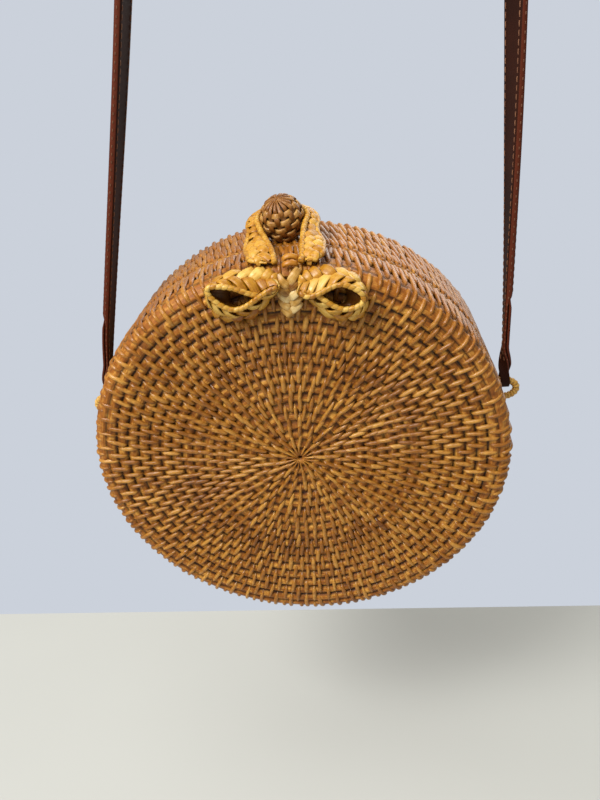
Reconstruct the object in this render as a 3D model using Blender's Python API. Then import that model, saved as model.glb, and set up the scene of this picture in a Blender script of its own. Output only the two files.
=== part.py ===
"""Round straw handbag: two woven half shells hinged at the bottom, a ball and loop clasp under a plaited bow,
and one leather strap that hangs in a wound ring on each side.

Metres, +Z up. The world's origin is the underside of the strap's top, where the bag hangs. The bag's own frame
has its zero on the body's long axis in the seam between the halves: -Y is the front, +X the viewer's right.
"""
import math

import bmesh
import bpy
from mathutils import Vector

# Clearances
CLEARANCE = 0.0003            # between pieces that touch
CUT_OVERRUN = 0.0020          # how far a cutter runs past what it cuts
SEAM_GAP = 0.0004             # between the two rim hoops

# Woven body
HALF_WIDTH = 0.100
HEIGHT_SHARE = 0.97           # the body is a little less high than wide
FRONT_DEPTH = 0.029           # seam to front ridge
BACK_DEPTH = 0.047            # seam to back ridge
WALL = 0.0045
EDGE_ROUND = 0.0063           # ridge between face and side
FACE_DISH = 0.0029            # how far a face is drawn in at its hub
HOOP_DIAMETER = 0.0050        # cane hoop that edges each half
LINING_RING_SHARES = (0.3, 0.6, 0.85)
COIL_ROW = 0.0104             # a row of the coil on the face, between two grooves
COIL_WALL_ROW = 0.0121        # a row on the wall, with its groove in the middle
COIL_GROOVE = 0.0010
EDGE_STEPS = 4
INNER_EDGE_STEPS = 2
BODY_SEGMENTS = 60
HOOP_SIDES = 8

# Cloth lining
LINING_THICKNESS = 0.0012
LINING_SET_BACK = 0.0125      # seam to the lining's edge
LINING_SEGMENTS = 36

# Hinge lashings, at the bottom of the seam
LASHING_SPACING = 0.0120
LASHING_DIAMETER = 0.0024
LASHING_PLAY = 0.0014         # between a hoop and the lashing round it
LASHING_SLOT_SIDE = 0.0004
LASHING_END_STEPS = 8
LASHING_SIDES = 6

# Side rings
RING_SET_BACK = 0.0090        # seam to the rings and to the strap's plane
RING_HEIGHT = 0.0150          # above the body's long axis
RING_REACH = 0.0068           # centre line, along X
RING_RISE = 0.0047            # centre line, along Z
RING_THICKNESS = 0.0032
RING_STAND_OUT = 0.0012       # its centre outside the body's side
RING_STEPS = 24
RING_SIDES = 8

# Strap
STRAP_RISE = 0.5400           # ring's upper arc to the underside of the strap's top
STRAP_WIDTH = 0.0120
STRAP_END_WIDTH = 0.0044      # where it is pared to pass the ring
STRAP_THICKNESS = 0.0030
STRAP_BEVEL = 0.0005
STRAP_TOP_RADIUS = 0.0280
STRAP_LEAN = 0.0360           # how far to the right the strap's top hangs
STRAP_LEAN_POWER = 1.5
STRAP_FOLD_PLAY = 0.0008      # between the ring and the fold round it
STRAP_FOLD_CLOSE = 0.0120     # height above the ring where the two plies meet
STRAP_PARE_HEIGHT = 0.0400    # height above the ring where the full width starts
STRAP_TURN_HEIGHT = 0.0200    # height above the ring where the faces have turned sideways
STRAP_TAB_HEIGHT = 0.0460     # height above the ring of the folded end
STRAP_SKIVE_LENGTH = 0.0040   # over which the strap is thinned for the folded end
STRAP_RING_SIDE_SHIFT = 0.0007
STRAP_STEP = 0.0190
STRAP_FOLD_STEP = 0.0030
STRAP_FOLD_STEPS = 8
STRAP_TOP_STEPS = 12
STRAP_TWIST_LEFT = 11         # degrees, at half height
STRAP_TWIST_RIGHT = 37
STRAP_UNTWIST_RIGHT = 10        # low down, where that leg shows its edge
STRAP_UNTWIST_SHARE = 0.26
STRAP_BOW_RIGHT = 0.0024        # how far that leg bows outwards at half height

# Ball of the clasp
BALL_X = -0.0019
BALL_RADIUS = 0.0099
BALL_HALF_HEIGHT = 0.0107
BALL_CENTRE_RISE = 0.0096     # above the top of the body
BALL_RINGS = 10
BALL_SEGMENTS = 24
STALK_FLANGE_RADIUS = 0.0052
STALK_FLANGE_THICKNESS = 0.0007
STALK_RADIUS = 0.0020
STALK_SEGMENTS = 16

# Bow on the front ridge; "along" runs over the ridge from its middle, up and back
BOW_X = 0.0025
KNOT_HALF_WIDTH = 0.0048
KNOT_THICKNESS = 0.0034
KNOT_REACH_BACK = -0.0010
KNOT_REACH_DOWN = 0.0220
KNOT_TIP_LENGTH = 0.0060
KNOT_SEAT = 0.0006
KNOT_BEVEL = 0.0010
KNOT_STEPS = 14
BOW_STRIP_THICKNESS = 0.0023
BOW_LENGTH_LEFT = 0.0295
BOW_LENGTH_RIGHT = 0.0266
BOW_HALF_HEIGHT = 0.0109
BOW_MIDDLE = -0.0112
BOW_KNOT_LIFT = 0.0034        # of a loop's middle line at the knot
BOW_SEAT = 0.0004
BOW_RISE = 0.0085             # of the eye's rim in front of the face
BOW_BULGE = 0.0012
BOW_KNOT_SHARE = 0.68         # height of a loop at the knot
BOW_BLUNT_SHARE = 0.6
EYE_HALF_HEIGHT = 0.0056
EYE_DROP_LEFT = 0.0112        # below the top of the body
EYE_DROP_RIGHT = 0.0128
EYE_TILT_LEFT = 0.0026        # from its middle to its outer end
EYE_TILT_RIGHT = 0.0008
BOW_STEPS = 28
BINDING_HALF_LENGTH = 0.0032
BINDING_RADIUS = 0.0022
BINDING_PLACE = 0.0018
BINDING_SEGMENTS = 12

# Closing loop of the clasp
LOOP_WIDTH = 0.0060            # round the ball
LOOP_END_WIDTH_LEFT = 0.0120
LOOP_END_WIDTH_RIGHT = 0.0100
LOOP_BELLY = 0.0028            # how much wider each leg is half way up
LOOP_BELLY_POWER = 1.4
LOOP_CORNER_SHARE = 0.24       # of each leg, over which its end is rounded
LOOP_CORNER_CUT_SHARE = 0.42   # of its end's width
LOOP_THICKNESS = 0.0024
LOOP_BEVEL = 0.0006
LOOP_BALL_PLAY = 0.0011
LOOP_PIVOT_SET_BACK = 0.0010  # behind the front ridge's plane
LOOP_PIVOT_RISE = 0.0004      # above the top of the body
LOOP_SLOPE = 15               # degrees, the loop rises from the bow to the ball
LOOP_TILT = -34               # degrees, its outer edge droops round the ball
LOOP_NECK_ANGLE = 13          # where the legs meet the round end
LOOP_LEG_STEPS = 14
LOOP_ROUND_STEPS = 22

# Derived places, in the bag's own frame
BODY_TOP = HALF_WIDTH * HEIGHT_SHARE
HOOP_RADIUS = HOOP_DIAMETER / 2
HOOP_CENTRE = HALF_WIDTH - HOOP_RADIUS
HOOP_OFFSET = SEAM_GAP / 2 + HOOP_RADIUS
WALL_START = SEAM_GAP / 2 + HOOP_DIAMETER + CLEARANCE
LID_AXIS = Vector((0, -HOOP_OFFSET, -HOOP_CENTRE * HEIGHT_SHARE))
RING_CENTRE = HALF_WIDTH + RING_STAND_OUT
RING_TUBE = RING_THICKNESS / 2
SWING_AXIS = Vector((0, RING_SET_BACK, RING_HEIGHT + RING_RISE))
CLASP_AXIS = Vector((BOW_X, -FRONT_DEPTH + LOOP_PIVOT_SET_BACK, BODY_TOP + LOOP_PIVOT_RISE))
STRAP_PLY = (STRAP_THICKNESS - CLEARANCE) / 2
STRAP_FOOT = RING_CENTRE + STRAP_RING_SIDE_SHIFT
HANG_POINT = Vector((STRAP_LEAN, RING_SET_BACK, SWING_AXIS.z + STRAP_RISE))

AXIS_X = Vector((1, 0, 0))
AXIS_Y = Vector((0, 1, 0))
AXIS_Z = Vector((0, 0, 1))


def clear_scene():
    for item in list(bpy.data.objects):
        bpy.data.objects.remove(item, do_unlink=True)


def finish_material(name, colour, roughness):
    material = bpy.data.materials.new(name)
    material.use_nodes = True
    shader = material.node_tree.nodes["Principled BSDF"]
    shader.inputs["Base Color"].default_value = (*colour, 1)
    shader.inputs["Roughness"].default_value = roughness
    shader.inputs["Metallic"].default_value = 0
    return material


def body_empty(name, place, parent=None):
    """An empty on a joint's axis; place is in the bag's own frame."""
    empty = bpy.data.objects.new(name, None)
    bpy.context.collection.objects.link(empty)
    origin = parent["place"] if parent else HANG_POINT
    empty.location = place - Vector(origin)
    empty.parent = parent
    empty["place"] = tuple(place)
    return empty


def add_object(name, mesh_builder, material, carrier, smooth_angle=35):
    """Turns a bmesh in the bag's own frame into an object under its body's empty."""
    mesh_builder.normal_update()
    bmesh.ops.recalc_face_normals(mesh_builder, faces=mesh_builder.faces)
    bmesh.ops.translate(mesh_builder, vec=-Vector(carrier["place"]), verts=mesh_builder.verts)
    mesh = bpy.data.meshes.new(name)
    mesh_builder.to_mesh(mesh)
    mesh_builder.free()
    mesh.materials.append(material)
    mesh.shade_smooth()
    mesh.set_sharp_from_angle(angle=math.radians(smooth_angle))
    item = bpy.data.objects.new(name, mesh)
    item.parent = carrier
    bpy.context.collection.objects.link(item)
    return item


def add_cutter(name, mesh_builder, carrier, *targets):
    """A closed shape that is cut out of the targets and is no piece itself."""
    cutter = add_object(name, mesh_builder, carrier["cut_material"], carrier)
    cutter.hide_render = True
    cutter.display_type = "WIRE"
    for target in targets:
        cut = target.modifiers.new(name, "BOOLEAN")
        cut.operation = "DIFFERENCE"
        cut.solver = "EXACT"
        cut.object = cutter
    return cutter


def turned(profile, closed, segments, axis=AXIS_Y, centre=Vector()):
    """Spins a profile of (radius, height) points about an axis through centre."""
    across = AXIS_X
    builder = bmesh.new()
    points = [builder.verts.new(centre + across * radius + axis * height) for radius, height in profile]
    ends = list(zip(points, points[1:]))
    if closed:
        ends.append((points[-1], points[0]))
    edges = [builder.edges.new(pair) for pair in ends]
    bmesh.ops.spin(builder, geom=points + edges, cent=centre, axis=axis, dvec=Vector(),
                   angle=math.tau, steps=segments, use_merge=True)
    bmesh.ops.remove_doubles(builder, verts=builder.verts, dist=CLEARANCE / segments)
    return builder


def flatten(builder):
    """Gives a round shape the body's own slightly lower outline."""
    bmesh.ops.scale(builder, vec=Vector((1, 1, HEIGHT_SHARE)), verts=builder.verts)
    return builder


def swept(stations, cyclic=False):
    """Joins section rings, each a list of points, into one closed skin."""
    builder = bmesh.new()
    rings = [[builder.verts.new(point) for point in section] for section in stations]
    pairs = list(zip(rings, rings[1:]))
    if cyclic:
        pairs.append((rings[-1], rings[0]))
    sides = len(rings[0])
    for near, far in pairs:
        for i in range(sides):
            j = (i + 1) % sides
            builder.faces.new((near[i], near[j], far[j], far[i]))
    if not cyclic:
        builder.faces.new(rings[0])
        builder.faces.new(rings[-1])
    return builder


def round_section(centre, across, up, radius, sides):
    turn = [math.tau * i / sides for i in range(sides)]
    return [centre + across * (radius * math.cos(a)) + up * (radius * math.sin(a)) for a in turn]


def strip_section(centre, across, up, width, thickness, bevel):
    """A flat strip's section with bevelled corners."""
    half, rise = width / 2, thickness / 2
    corners = []
    for side, lift in ((1, 1), (-1, 1), (-1, -1), (1, -1)):
        along = (side * (half - bevel), lift * rise)
        beside = (side * half, lift * (rise - bevel))
        corners += [beside, along] if side * lift > 0 else [along, beside]
    return [centre + across * a + up * b for a, b in corners]


def smooth_step(share):
    share = min(max(share, 0), 1)
    return share * share * (3 - 2 * share)


def coiled_face(rim, hub_level):
    """Outer points of a face from its hub, with a groove between each two rows of the coil."""
    rows = round(rim / COIL_ROW)
    points = [(0, hub_level)]
    for half_row in range(1, 2 * rows):
        share = half_row / (2 * rows)
        groove = 0 if half_row % 2 else COIL_GROOVE
        points.append((rim * share, hub_level + FACE_DISH * share ** 2 - groove))
    return points


def plain_face(rim, hub_level):
    """Points of a smooth face from its hub."""
    rings = [(rim * share, hub_level + FACE_DISH * share ** 2) for share in LINING_RING_SHARES]
    return [(0, hub_level)] + rings


def coiled_wall(radius, top, start):
    """Outer points of a wall below its ridge, with a groove in each row of the coil."""
    rows = max(round((top - start) / COIL_WALL_ROW), 1)
    points = []
    for half_row in range(1, 2 * rows + 1):
        groove = COIL_GROOVE if half_row % 2 else 0
        points.append((radius - groove, top + (start - top) * half_row / (2 * rows)))
    return points


def shell_profile(depth, skin, start, inset, coiled):
    """(radius, distance from the seam) points of a dish: outer hub to edge, then back along the inside."""
    def side(gap, grooved):
        radius = HALF_WIDTH - gap
        level = depth - gap
        bend = max(EDGE_ROUND - gap, WALL / 3)
        rim = radius - bend
        points = (coiled_face if grooved else plain_face)(rim, level - FACE_DISH)
        steps = EDGE_STEPS if grooved else INNER_EDGE_STEPS
        for i in range(steps + 1):
            angle = math.pi / 2 * i / steps
            points.append((rim + bend * math.sin(angle), level - bend + bend * math.cos(angle)))
        if grooved:
            return points + coiled_wall(radius, level - bend, start)
        return points + [(radius, start)]
    return side(inset, coiled) + side(inset + skin, False)[::-1]


def shell(depth, facing, skin=WALL, start=WALL_START, inset=0.0, segments=BODY_SEGMENTS, coiled=True):
    profile = [(radius, facing * level) for radius, level in shell_profile(depth, skin, start, inset, coiled)]
    return flatten(turned(profile, False, segments))


def rim_hoop(facing):
    centre = facing * HOOP_OFFSET
    turn = [math.tau * i / HOOP_SIDES for i in range(HOOP_SIDES)]
    profile = [(HOOP_CENTRE + HOOP_RADIUS * math.cos(a), centre + HOOP_RADIUS * math.sin(a)) for a in turn]
    return flatten(turned(profile, True, BODY_SEGMENTS))


def hoop_bottom(x):
    """Height of the rim hoop's centre line at a place beside the middle of the bottom."""
    return -HEIGHT_SHARE * math.sqrt(HOOP_CENTRE ** 2 - x ** 2)


def lashing(x):
    """A closed winding round both rim hoops."""
    reach = HOOP_RADIUS + LASHING_PLAY + LASHING_DIAMETER / 2
    stations = []
    for facing, first in ((1, -math.pi / 2), (-1, math.pi / 2)):
        centre = Vector((x, facing * HOOP_OFFSET, hoop_bottom(x)))
        for i in range(LASHING_END_STEPS + 1):
            angle = first + math.pi * i / LASHING_END_STEPS
            outward = Vector((0, math.cos(angle), math.sin(angle)))
            stations.append(round_section(centre + outward * reach, AXIS_X, outward,
                                          LASHING_DIAMETER / 2, LASHING_SIDES))
    return swept(stations, cyclic=True)


def lashing_slot(x, facing):
    """The notch in a half's edge that lets a lashing round its hoop."""
    reach = HOOP_OFFSET + HOOP_RADIUS + LASHING_PLAY + LASHING_DIAMETER + LASHING_SLOT_SIDE
    half = LASHING_DIAMETER / 2 + LASHING_SLOT_SIDE
    builder = bmesh.new()
    bmesh.ops.create_cube(builder, size=1)
    length = reach - WALL_START + CUT_OVERRUN
    height = WALL + 2 * CUT_OVERRUN
    bmesh.ops.scale(builder, vec=Vector((2 * half, length, height)), verts=builder.verts)
    middle = Vector((x, facing * (reach - length / 2), hoop_bottom(x)))
    bmesh.ops.translate(builder, vec=middle, verts=builder.verts)
    return builder


def side_ring(side, tube):
    """An oval ring that stands out of the back half's side and passes behind its skin."""
    centre = Vector((side * RING_CENTRE, RING_SET_BACK, RING_HEIGHT))
    stations = []
    for i in range(RING_STEPS):
        angle = math.tau * i / RING_STEPS
        place = centre + AXIS_X * (RING_REACH * math.cos(angle)) + AXIS_Z * (RING_RISE * math.sin(angle))
        outward = Vector((RING_RISE * math.cos(angle), 0, RING_REACH * math.sin(angle))).normalized()
        stations.append(round_section(place, outward, AXIS_Y, tube, RING_SIDES))
    return swept(stations, cyclic=True)


class StrapRoute:
    """The strap's line in the plane of the rings, and how its faces turn along it."""

    def __init__(self):
        self.top_centre = HANG_POINT.z - STRAP_TOP_RADIUS
        self.foot = SWING_AXIS.z
        self.line_radius = STRAP_TOP_RADIUS + STRAP_THICKNESS / 2
        rise = self.top_centre - self.foot
        distance = math.hypot(STRAP_FOOT, rise)
        self.slope_angle = math.atan2(STRAP_FOOT, rise) - math.asin(self.line_radius / distance)
        self.head = self.top_centre + self.line_radius * math.sin(self.slope_angle)

    def place(self, side, height):
        share = min((height - self.foot) / (self.head - self.foot), 1)
        middle = STRAP_LEAN * (1 - (1 - share) ** STRAP_LEAN_POWER)
        half = STRAP_FOOT - (height - self.foot) * math.tan(self.slope_angle)
        if side > 0:
            half += STRAP_BOW_RIGHT * math.sin(math.pi * share)
        return Vector((middle + side * half, RING_SET_BACK, height))

    def direction(self, side, height):
        """Upwards along the leg."""
        low = self.place(side, height)
        high = self.place(side, min(height + STRAP_STEP / 2, self.head))
        if (high - low).length < CLEARANCE:
            low = self.place(side, height - STRAP_STEP / 2)
        return (high - low).normalized()

    def frame(self, side, height):
        """The outer face's normal, turned towards +Y at the ring and sideways above it."""
        upward = self.direction(side, height)
        outer = (AXIS_Y.cross(upward) * side).normalized()
        above = height - self.foot
        turn = math.pi / 2 * smooth_step(above / STRAP_TURN_HEIGHT)
        share = above / (self.head - self.foot)
        most = STRAP_TWIST_LEFT if side < 0 else STRAP_TWIST_RIGHT
        turn -= math.radians(most) * math.sin(math.pi * share) ** 2
        if side > 0:
            low = smooth_step(above / STRAP_TURN_HEIGHT) - smooth_step(share / STRAP_UNTWIST_SHARE)
            turn += math.radians(STRAP_UNTWIST_RIGHT) * max(low, 0)
        normal = AXIS_Y * math.cos(turn) + outer * math.sin(turn)
        return upward, normal

    def spread(self, height):
        """Half the distance between the plies' middles."""
        closed = (STRAP_PLY + CLEARANCE) / 2
        opened = RING_TUBE + STRAP_FOLD_PLAY + STRAP_PLY / 2
        return opened + (closed - opened) * smooth_step((height - self.foot) / STRAP_FOLD_CLOSE)

    def width(self, height):
        grown = smooth_step((height - self.foot) / STRAP_PARE_HEIGHT)
        return STRAP_END_WIDTH + (STRAP_WIDTH - STRAP_END_WIDTH) * grown

    def section(self, side, height, offset, thickness):
        upward, normal = self.frame(side, height)
        centre = self.place(side, height) + normal * offset
        across = upward.cross(normal) * -side
        facing = -normal if offset > 0 else normal
        return strip_section(centre, across, facing, self.width(height), thickness, STRAP_BEVEL)

    def tab(self, side, height):
        """The folded end, outside the strap."""
        return self.section(side, height, self.spread(height), STRAP_PLY)

    def main(self, side, height):
        """The strap itself, which is thinned below the folded end's edge to make room for it."""
        over = height - self.foot - STRAP_TAB_HEIGHT - CLEARANCE
        grown = min(max(over / STRAP_SKIVE_LENGTH, 0), 1)
        thickness = STRAP_PLY + (STRAP_THICKNESS - STRAP_PLY) * grown
        closed = (thickness - STRAP_THICKNESS) / 2
        opened = closed + (STRAP_PLY + CLEARANCE) / 2 - self.spread(height)
        return self.section(side, height, opened, thickness)

    def fold(self, side):
        """Sections round the ring's upper arc, from the main ply to the folded end."""
        radius = self.spread(self.foot)
        centre = self.place(side, self.foot)
        across = AXIS_X * (self.direction(side, self.foot).cross(AXIS_Y).x * -side)
        sections = []
        for i in range(1, STRAP_FOLD_STEPS):
            angle = math.pi * i / STRAP_FOLD_STEPS
            inward = AXIS_Y * math.cos(angle) + AXIS_Z * math.sin(angle)
            sections.append(strip_section(centre - inward * radius, across.normalized(), inward,
                                          STRAP_END_WIDTH, STRAP_PLY, STRAP_BEVEL))
        return sections

    def heights(self, top, step):
        count = max(1, round((top - self.foot) / step))
        return [self.foot + (top - self.foot) * i / count for i in range(count + 1)]

    def leg(self, side):
        """All sections of one side, from the folded end down, round the ring and up to the top bend."""
        tab_top = self.foot + STRAP_TAB_HEIGHT
        skive = tab_top + CLEARANCE
        full = skive + STRAP_SKIVE_LENGTH
        count = round((self.head - full) / STRAP_STEP)
        low = self.heights(tab_top, STRAP_FOLD_STEP)
        high = [skive] + [full + (self.head - full) * i / count for i in range(count + 1)]
        tab = [self.tab(side, height) for height in reversed(low)]
        main = [self.main(side, height) for height in low + high]
        return tab + self.fold(side)[::-1] + main

    def top(self):
        """Sections over the top bend, from left to right."""
        sections = []
        centre = Vector((STRAP_LEAN, RING_SET_BACK, self.top_centre))
        radius = self.line_radius
        for i in range(1, STRAP_TOP_STEPS):
            angle = math.pi - self.slope_angle - (math.pi - 2 * self.slope_angle) * i / STRAP_TOP_STEPS
            outward = Vector((math.cos(angle), 0, math.sin(angle)))
            sections.append(strip_section(centre + outward * radius, -AXIS_Y, outward,
                                          STRAP_WIDTH, STRAP_THICKNESS, STRAP_BEVEL))
        return sections


def strap():
    route = StrapRoute()
    return swept(route.leg(-1) + route.top() + route.leg(1)[::-1])


def ball():
    """A squat ball with a flat foot."""
    foot = BALL_CENTRE_RISE - CLEARANCE * 2 - STALK_FLANGE_THICKNESS
    first = math.asin(-foot / BALL_HALF_HEIGHT)
    profile = [(0, -foot)]
    for i in range(BALL_RINGS + 1):
        angle = first + (math.pi / 2 - first) * i / BALL_RINGS
        profile.append((BALL_RADIUS * math.cos(angle) if i < BALL_RINGS else 0,
                        BALL_HALF_HEIGHT * math.sin(angle)))
    centre = Vector((BALL_X, RING_SET_BACK, BODY_TOP + BALL_CENTRE_RISE))
    return turned(profile, False, BALL_SEGMENTS, AXIS_Z, centre)


def stalk():
    """A peg through the back half's skin with a flange under the ball."""
    flange_foot = CLEARANCE
    flange_top = flange_foot + STALK_FLANGE_THICKNESS
    profile = [(0, -WALL), (STALK_RADIUS, -WALL), (STALK_RADIUS, flange_foot),
               (STALK_FLANGE_RADIUS, flange_foot), (STALK_FLANGE_RADIUS, flange_top), (0, flange_top)]
    centre = Vector((BALL_X, RING_SET_BACK, BODY_TOP))
    return turned(profile, False, STALK_SEGMENTS, AXIS_Z, centre)


def stalk_hole():
    radius = STALK_RADIUS + CLEARANCE
    profile = [(0, -WALL - CUT_OVERRUN), (radius, -WALL - CUT_OVERRUN), (radius, CUT_OVERRUN), (0, CUT_OVERRUN)]
    centre = Vector((BALL_X, RING_SET_BACK, BODY_TOP))
    return turned(profile, False, STALK_SEGMENTS, AXIS_Z, centre)


def on_front(x, along, rise):
    """A point over the front half's skin and the normal there.

    x is sideways, along runs over the ridge from its middle towards the seam, rise is out of the skin.
    """
    bend_radius = HALF_WIDTH - EDGE_ROUND
    bend_level = -FRONT_DEPTH + EDGE_ROUND
    angle = math.pi / 4 + along / EDGE_ROUND
    if angle < 0:
        radius, level, turn = bend_radius + EDGE_ROUND * angle, -FRONT_DEPTH, 0
    elif angle > math.pi / 2:
        radius, level, turn = HALF_WIDTH, bend_level + EDGE_ROUND * (angle - math.pi / 2), math.pi / 2
    else:
        radius = bend_radius + EDGE_ROUND * math.sin(angle)
        level, turn = bend_level - EDGE_ROUND * math.cos(angle), angle
    radius += rise * math.sin(turn)
    level -= rise * math.cos(turn)
    point = Vector((x, level, HEIGHT_SHARE * math.sqrt(radius ** 2 - x ** 2)))
    return point, Vector((0, -math.cos(turn), math.sin(turn)))


def bow_outline(side, angle, inset):
    """A loop's rim on the skin: blunt at the knot with a level upper edge, full towards its outer end."""
    length = (BOW_LENGTH_LEFT if side < 0 else BOW_LENGTH_RIGHT) - 2 * inset
    share = (1 - math.cos(angle)) / 2
    full = smooth_step(share * 2)
    wave = math.copysign(abs(math.sin(angle)) ** BOW_BLUNT_SHARE, math.sin(angle))
    half = (BOW_HALF_HEIGHT - inset) * (BOW_KNOT_SHARE + (1 - BOW_KNOT_SHARE) * full)
    x = BOW_X + side * (KNOT_HALF_WIDTH + CLEARANCE + inset + length * share)
    return x, BOW_MIDDLE + BOW_KNOT_LIFT * (1 - full) + half * wave


def eye_outline(side, angle, inset):
    """A loop's open rim, a leaf that stands in front of the face."""
    length = (BOW_LENGTH_LEFT if side < 0 else BOW_LENGTH_RIGHT) - 2 * inset
    drop = EYE_DROP_LEFT if side < 0 else EYE_DROP_RIGHT
    tilt = EYE_TILT_LEFT if side < 0 else EYE_TILT_RIGHT
    share = (1 - math.cos(angle)) / 2
    x = BOW_X + side * (KNOT_HALF_WIDTH + CLEARANCE + inset + length * share)
    height = BODY_TOP - drop + tilt * (2 * share - 1) + (EYE_HALF_HEIGHT - inset) * math.sin(angle)
    return Vector((x, -FRONT_DEPTH - BOW_RISE, height))


def bow_loop(side):
    """A plaited strip bent into a loop that narrows to its open eye at the front."""
    skin = BOW_STRIP_THICKNESS
    stations = []
    for i in range(BOW_STEPS):
        angle = math.tau * i / BOW_STEPS
        outer_rim = on_front(*bow_outline(side, angle, 0), BOW_SEAT)[0]
        inner_rim = on_front(*bow_outline(side, angle, skin), BOW_SEAT)[0]
        outer_eye = eye_outline(side, angle, 0)
        inner_eye = eye_outline(side, angle, skin)
        outward = Vector((-side * math.cos(angle), 0, math.sin(angle))) * BOW_BULGE
        outward.x *= math.sin(angle / 2)
        middles = [(outer_rim + outer_eye) / 2 + outward, (inner_rim + inner_eye) / 2 + outward]
        stations.append([outer_rim, middles[0], outer_eye, inner_eye, middles[1], inner_rim])
    return swept(stations, cyclic=True)


def bow_knot():
    """The band over the bow's middle, drawn to a point on the face."""
    stations = []
    length = KNOT_REACH_BACK + KNOT_REACH_DOWN
    for i in range(KNOT_STEPS + 1):
        along = KNOT_REACH_BACK - length * i / KNOT_STEPS
        point, normal = on_front(BOW_X, along, KNOT_SEAT + KNOT_THICKNESS / 2)
        tip = min((along + KNOT_REACH_DOWN) / KNOT_TIP_LENGTH, 1)
        width = 2 * (KNOT_BEVEL + (KNOT_HALF_WIDTH - KNOT_BEVEL) * tip)
        width = max(width, 3 * KNOT_BEVEL)
        stations.append(strip_section(point, AXIS_X, normal, width, KNOT_THICKNESS, KNOT_BEVEL))
    return swept(stations)


def loop_binding():
    """A short rounded winding where the closing loop leaves the knot."""
    point, _ = on_front(BOW_X, BINDING_PLACE, BOW_SEAT + BINDING_RADIUS)
    half, radius = BINDING_HALF_LENGTH, BINDING_RADIUS
    profile = [(0, -half), (radius / 2, -half), (radius, -half + radius / 2),
               (radius, half - radius / 2), (radius / 2, half), (0, half)]
    builder = bmesh.new()
    rings = []
    for reach, place in profile:
        centre = point + AXIS_X * place
        if reach:
            rings.append([builder.verts.new(p) for p in
                          round_section(centre, AXIS_Y, AXIS_Z, reach, BINDING_SEGMENTS)])
    for near, far in zip(rings, rings[1:]):
        for i in range(BINDING_SEGMENTS):
            j = (i + 1) % BINDING_SEGMENTS
            builder.faces.new((near[i], near[j], far[j], far[i]))
    builder.faces.new(rings[0])
    builder.faces.new(rings[-1])
    return builder


def loop_inner_edge():
    """Places in the loop's own sloping plane, from the right leg's end round the ball to the left leg's.

    Each is (x, distance from the pivot line), the outward direction, how far it is up its leg and the side.
    """
    inner = BALL_RADIUS + LOOP_BALL_PLAY
    ball_rise = BODY_TOP + BALL_CENTRE_RISE - CLASP_AXIS.z
    distance = math.hypot(RING_SET_BACK - CLASP_AXIS.y, ball_rise)
    centre = Vector((BALL_X, distance))
    neck = math.radians(LOOP_NECK_ANGLE)
    legs = []
    for side in (1, -1):
        start = Vector((BOW_X + side * (KNOT_HALF_WIDTH + CLEARANCE), 0))
        end = centre + Vector((side * math.cos(neck), -math.sin(neck))) * inner
        reach = (end - start).length
        start_pull = Vector((0, reach))
        end_pull = Vector((side * math.sin(neck), math.cos(neck))) * reach
        leg = []
        for i in range(LOOP_LEG_STEPS):
            t = i / LOOP_LEG_STEPS
            place = (start * (2 * t ** 3 - 3 * t ** 2 + 1) + start_pull * (t ** 3 - 2 * t ** 2 + t)
                     + end * (3 * t ** 2 - 2 * t ** 3) + end_pull * (t ** 3 - t ** 2))
            travel = (start * (6 * t ** 2 - 6 * t) + start_pull * (3 * t ** 2 - 4 * t + 1)
                      + end * (6 * t - 6 * t ** 2) + end_pull * (3 * t ** 2 - 2 * t)).normalized()
            leg.append((place, Vector((travel.y * side, -travel.x * side)), t, side))
        legs.append(leg)
    round_end = []
    for i in range(LOOP_ROUND_STEPS + 1):
        angle = -neck + (math.pi + 2 * neck) * i / LOOP_ROUND_STEPS
        outward = Vector((math.cos(angle), math.sin(angle)))
        round_end.append((centre + outward * inner, outward, 1, 1))
    return legs[0] + round_end + legs[1][::-1]


def closing_loop():
    """A plaited strip that leaves the bow on both sides of its knot and rises to the back of the ball."""
    slope = math.radians(LOOP_SLOPE)
    back = Vector((0, math.cos(slope), math.sin(slope)))
    lift = Vector((0, -math.sin(slope), math.cos(slope)))
    stations = []
    for place, outward, share, side in loop_inner_edge():
        end_width = LOOP_END_WIDTH_LEFT if side < 0 else LOOP_END_WIDTH_RIGHT
        width = end_width + (LOOP_WIDTH - end_width) * smooth_step(share)
        width += LOOP_BELLY * math.sin(math.pi * share ** LOOP_BELLY_POWER) ** 2
        width *= 1 - LOOP_CORNER_CUT_SHARE * max(1 - share / LOOP_CORNER_SHARE, 0) ** 2
        tilt = math.radians(LOOP_TILT) * smooth_step(share)
        flat = AXIS_X * outward.x + back * outward.y
        across = flat * math.cos(tilt) + lift * math.sin(tilt)
        up = lift * math.cos(tilt) - flat * math.sin(tilt)
        inner_edge = AXIS_X * place.x + back * place.y + Vector((0, CLASP_AXIS.y, CLASP_AXIS.z))
        stations.append(strip_section(inner_edge + across * (width / 2), across, up, width,
                                      LOOP_THICKNESS, LOOP_BEVEL))
    return swept(stations)


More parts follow.
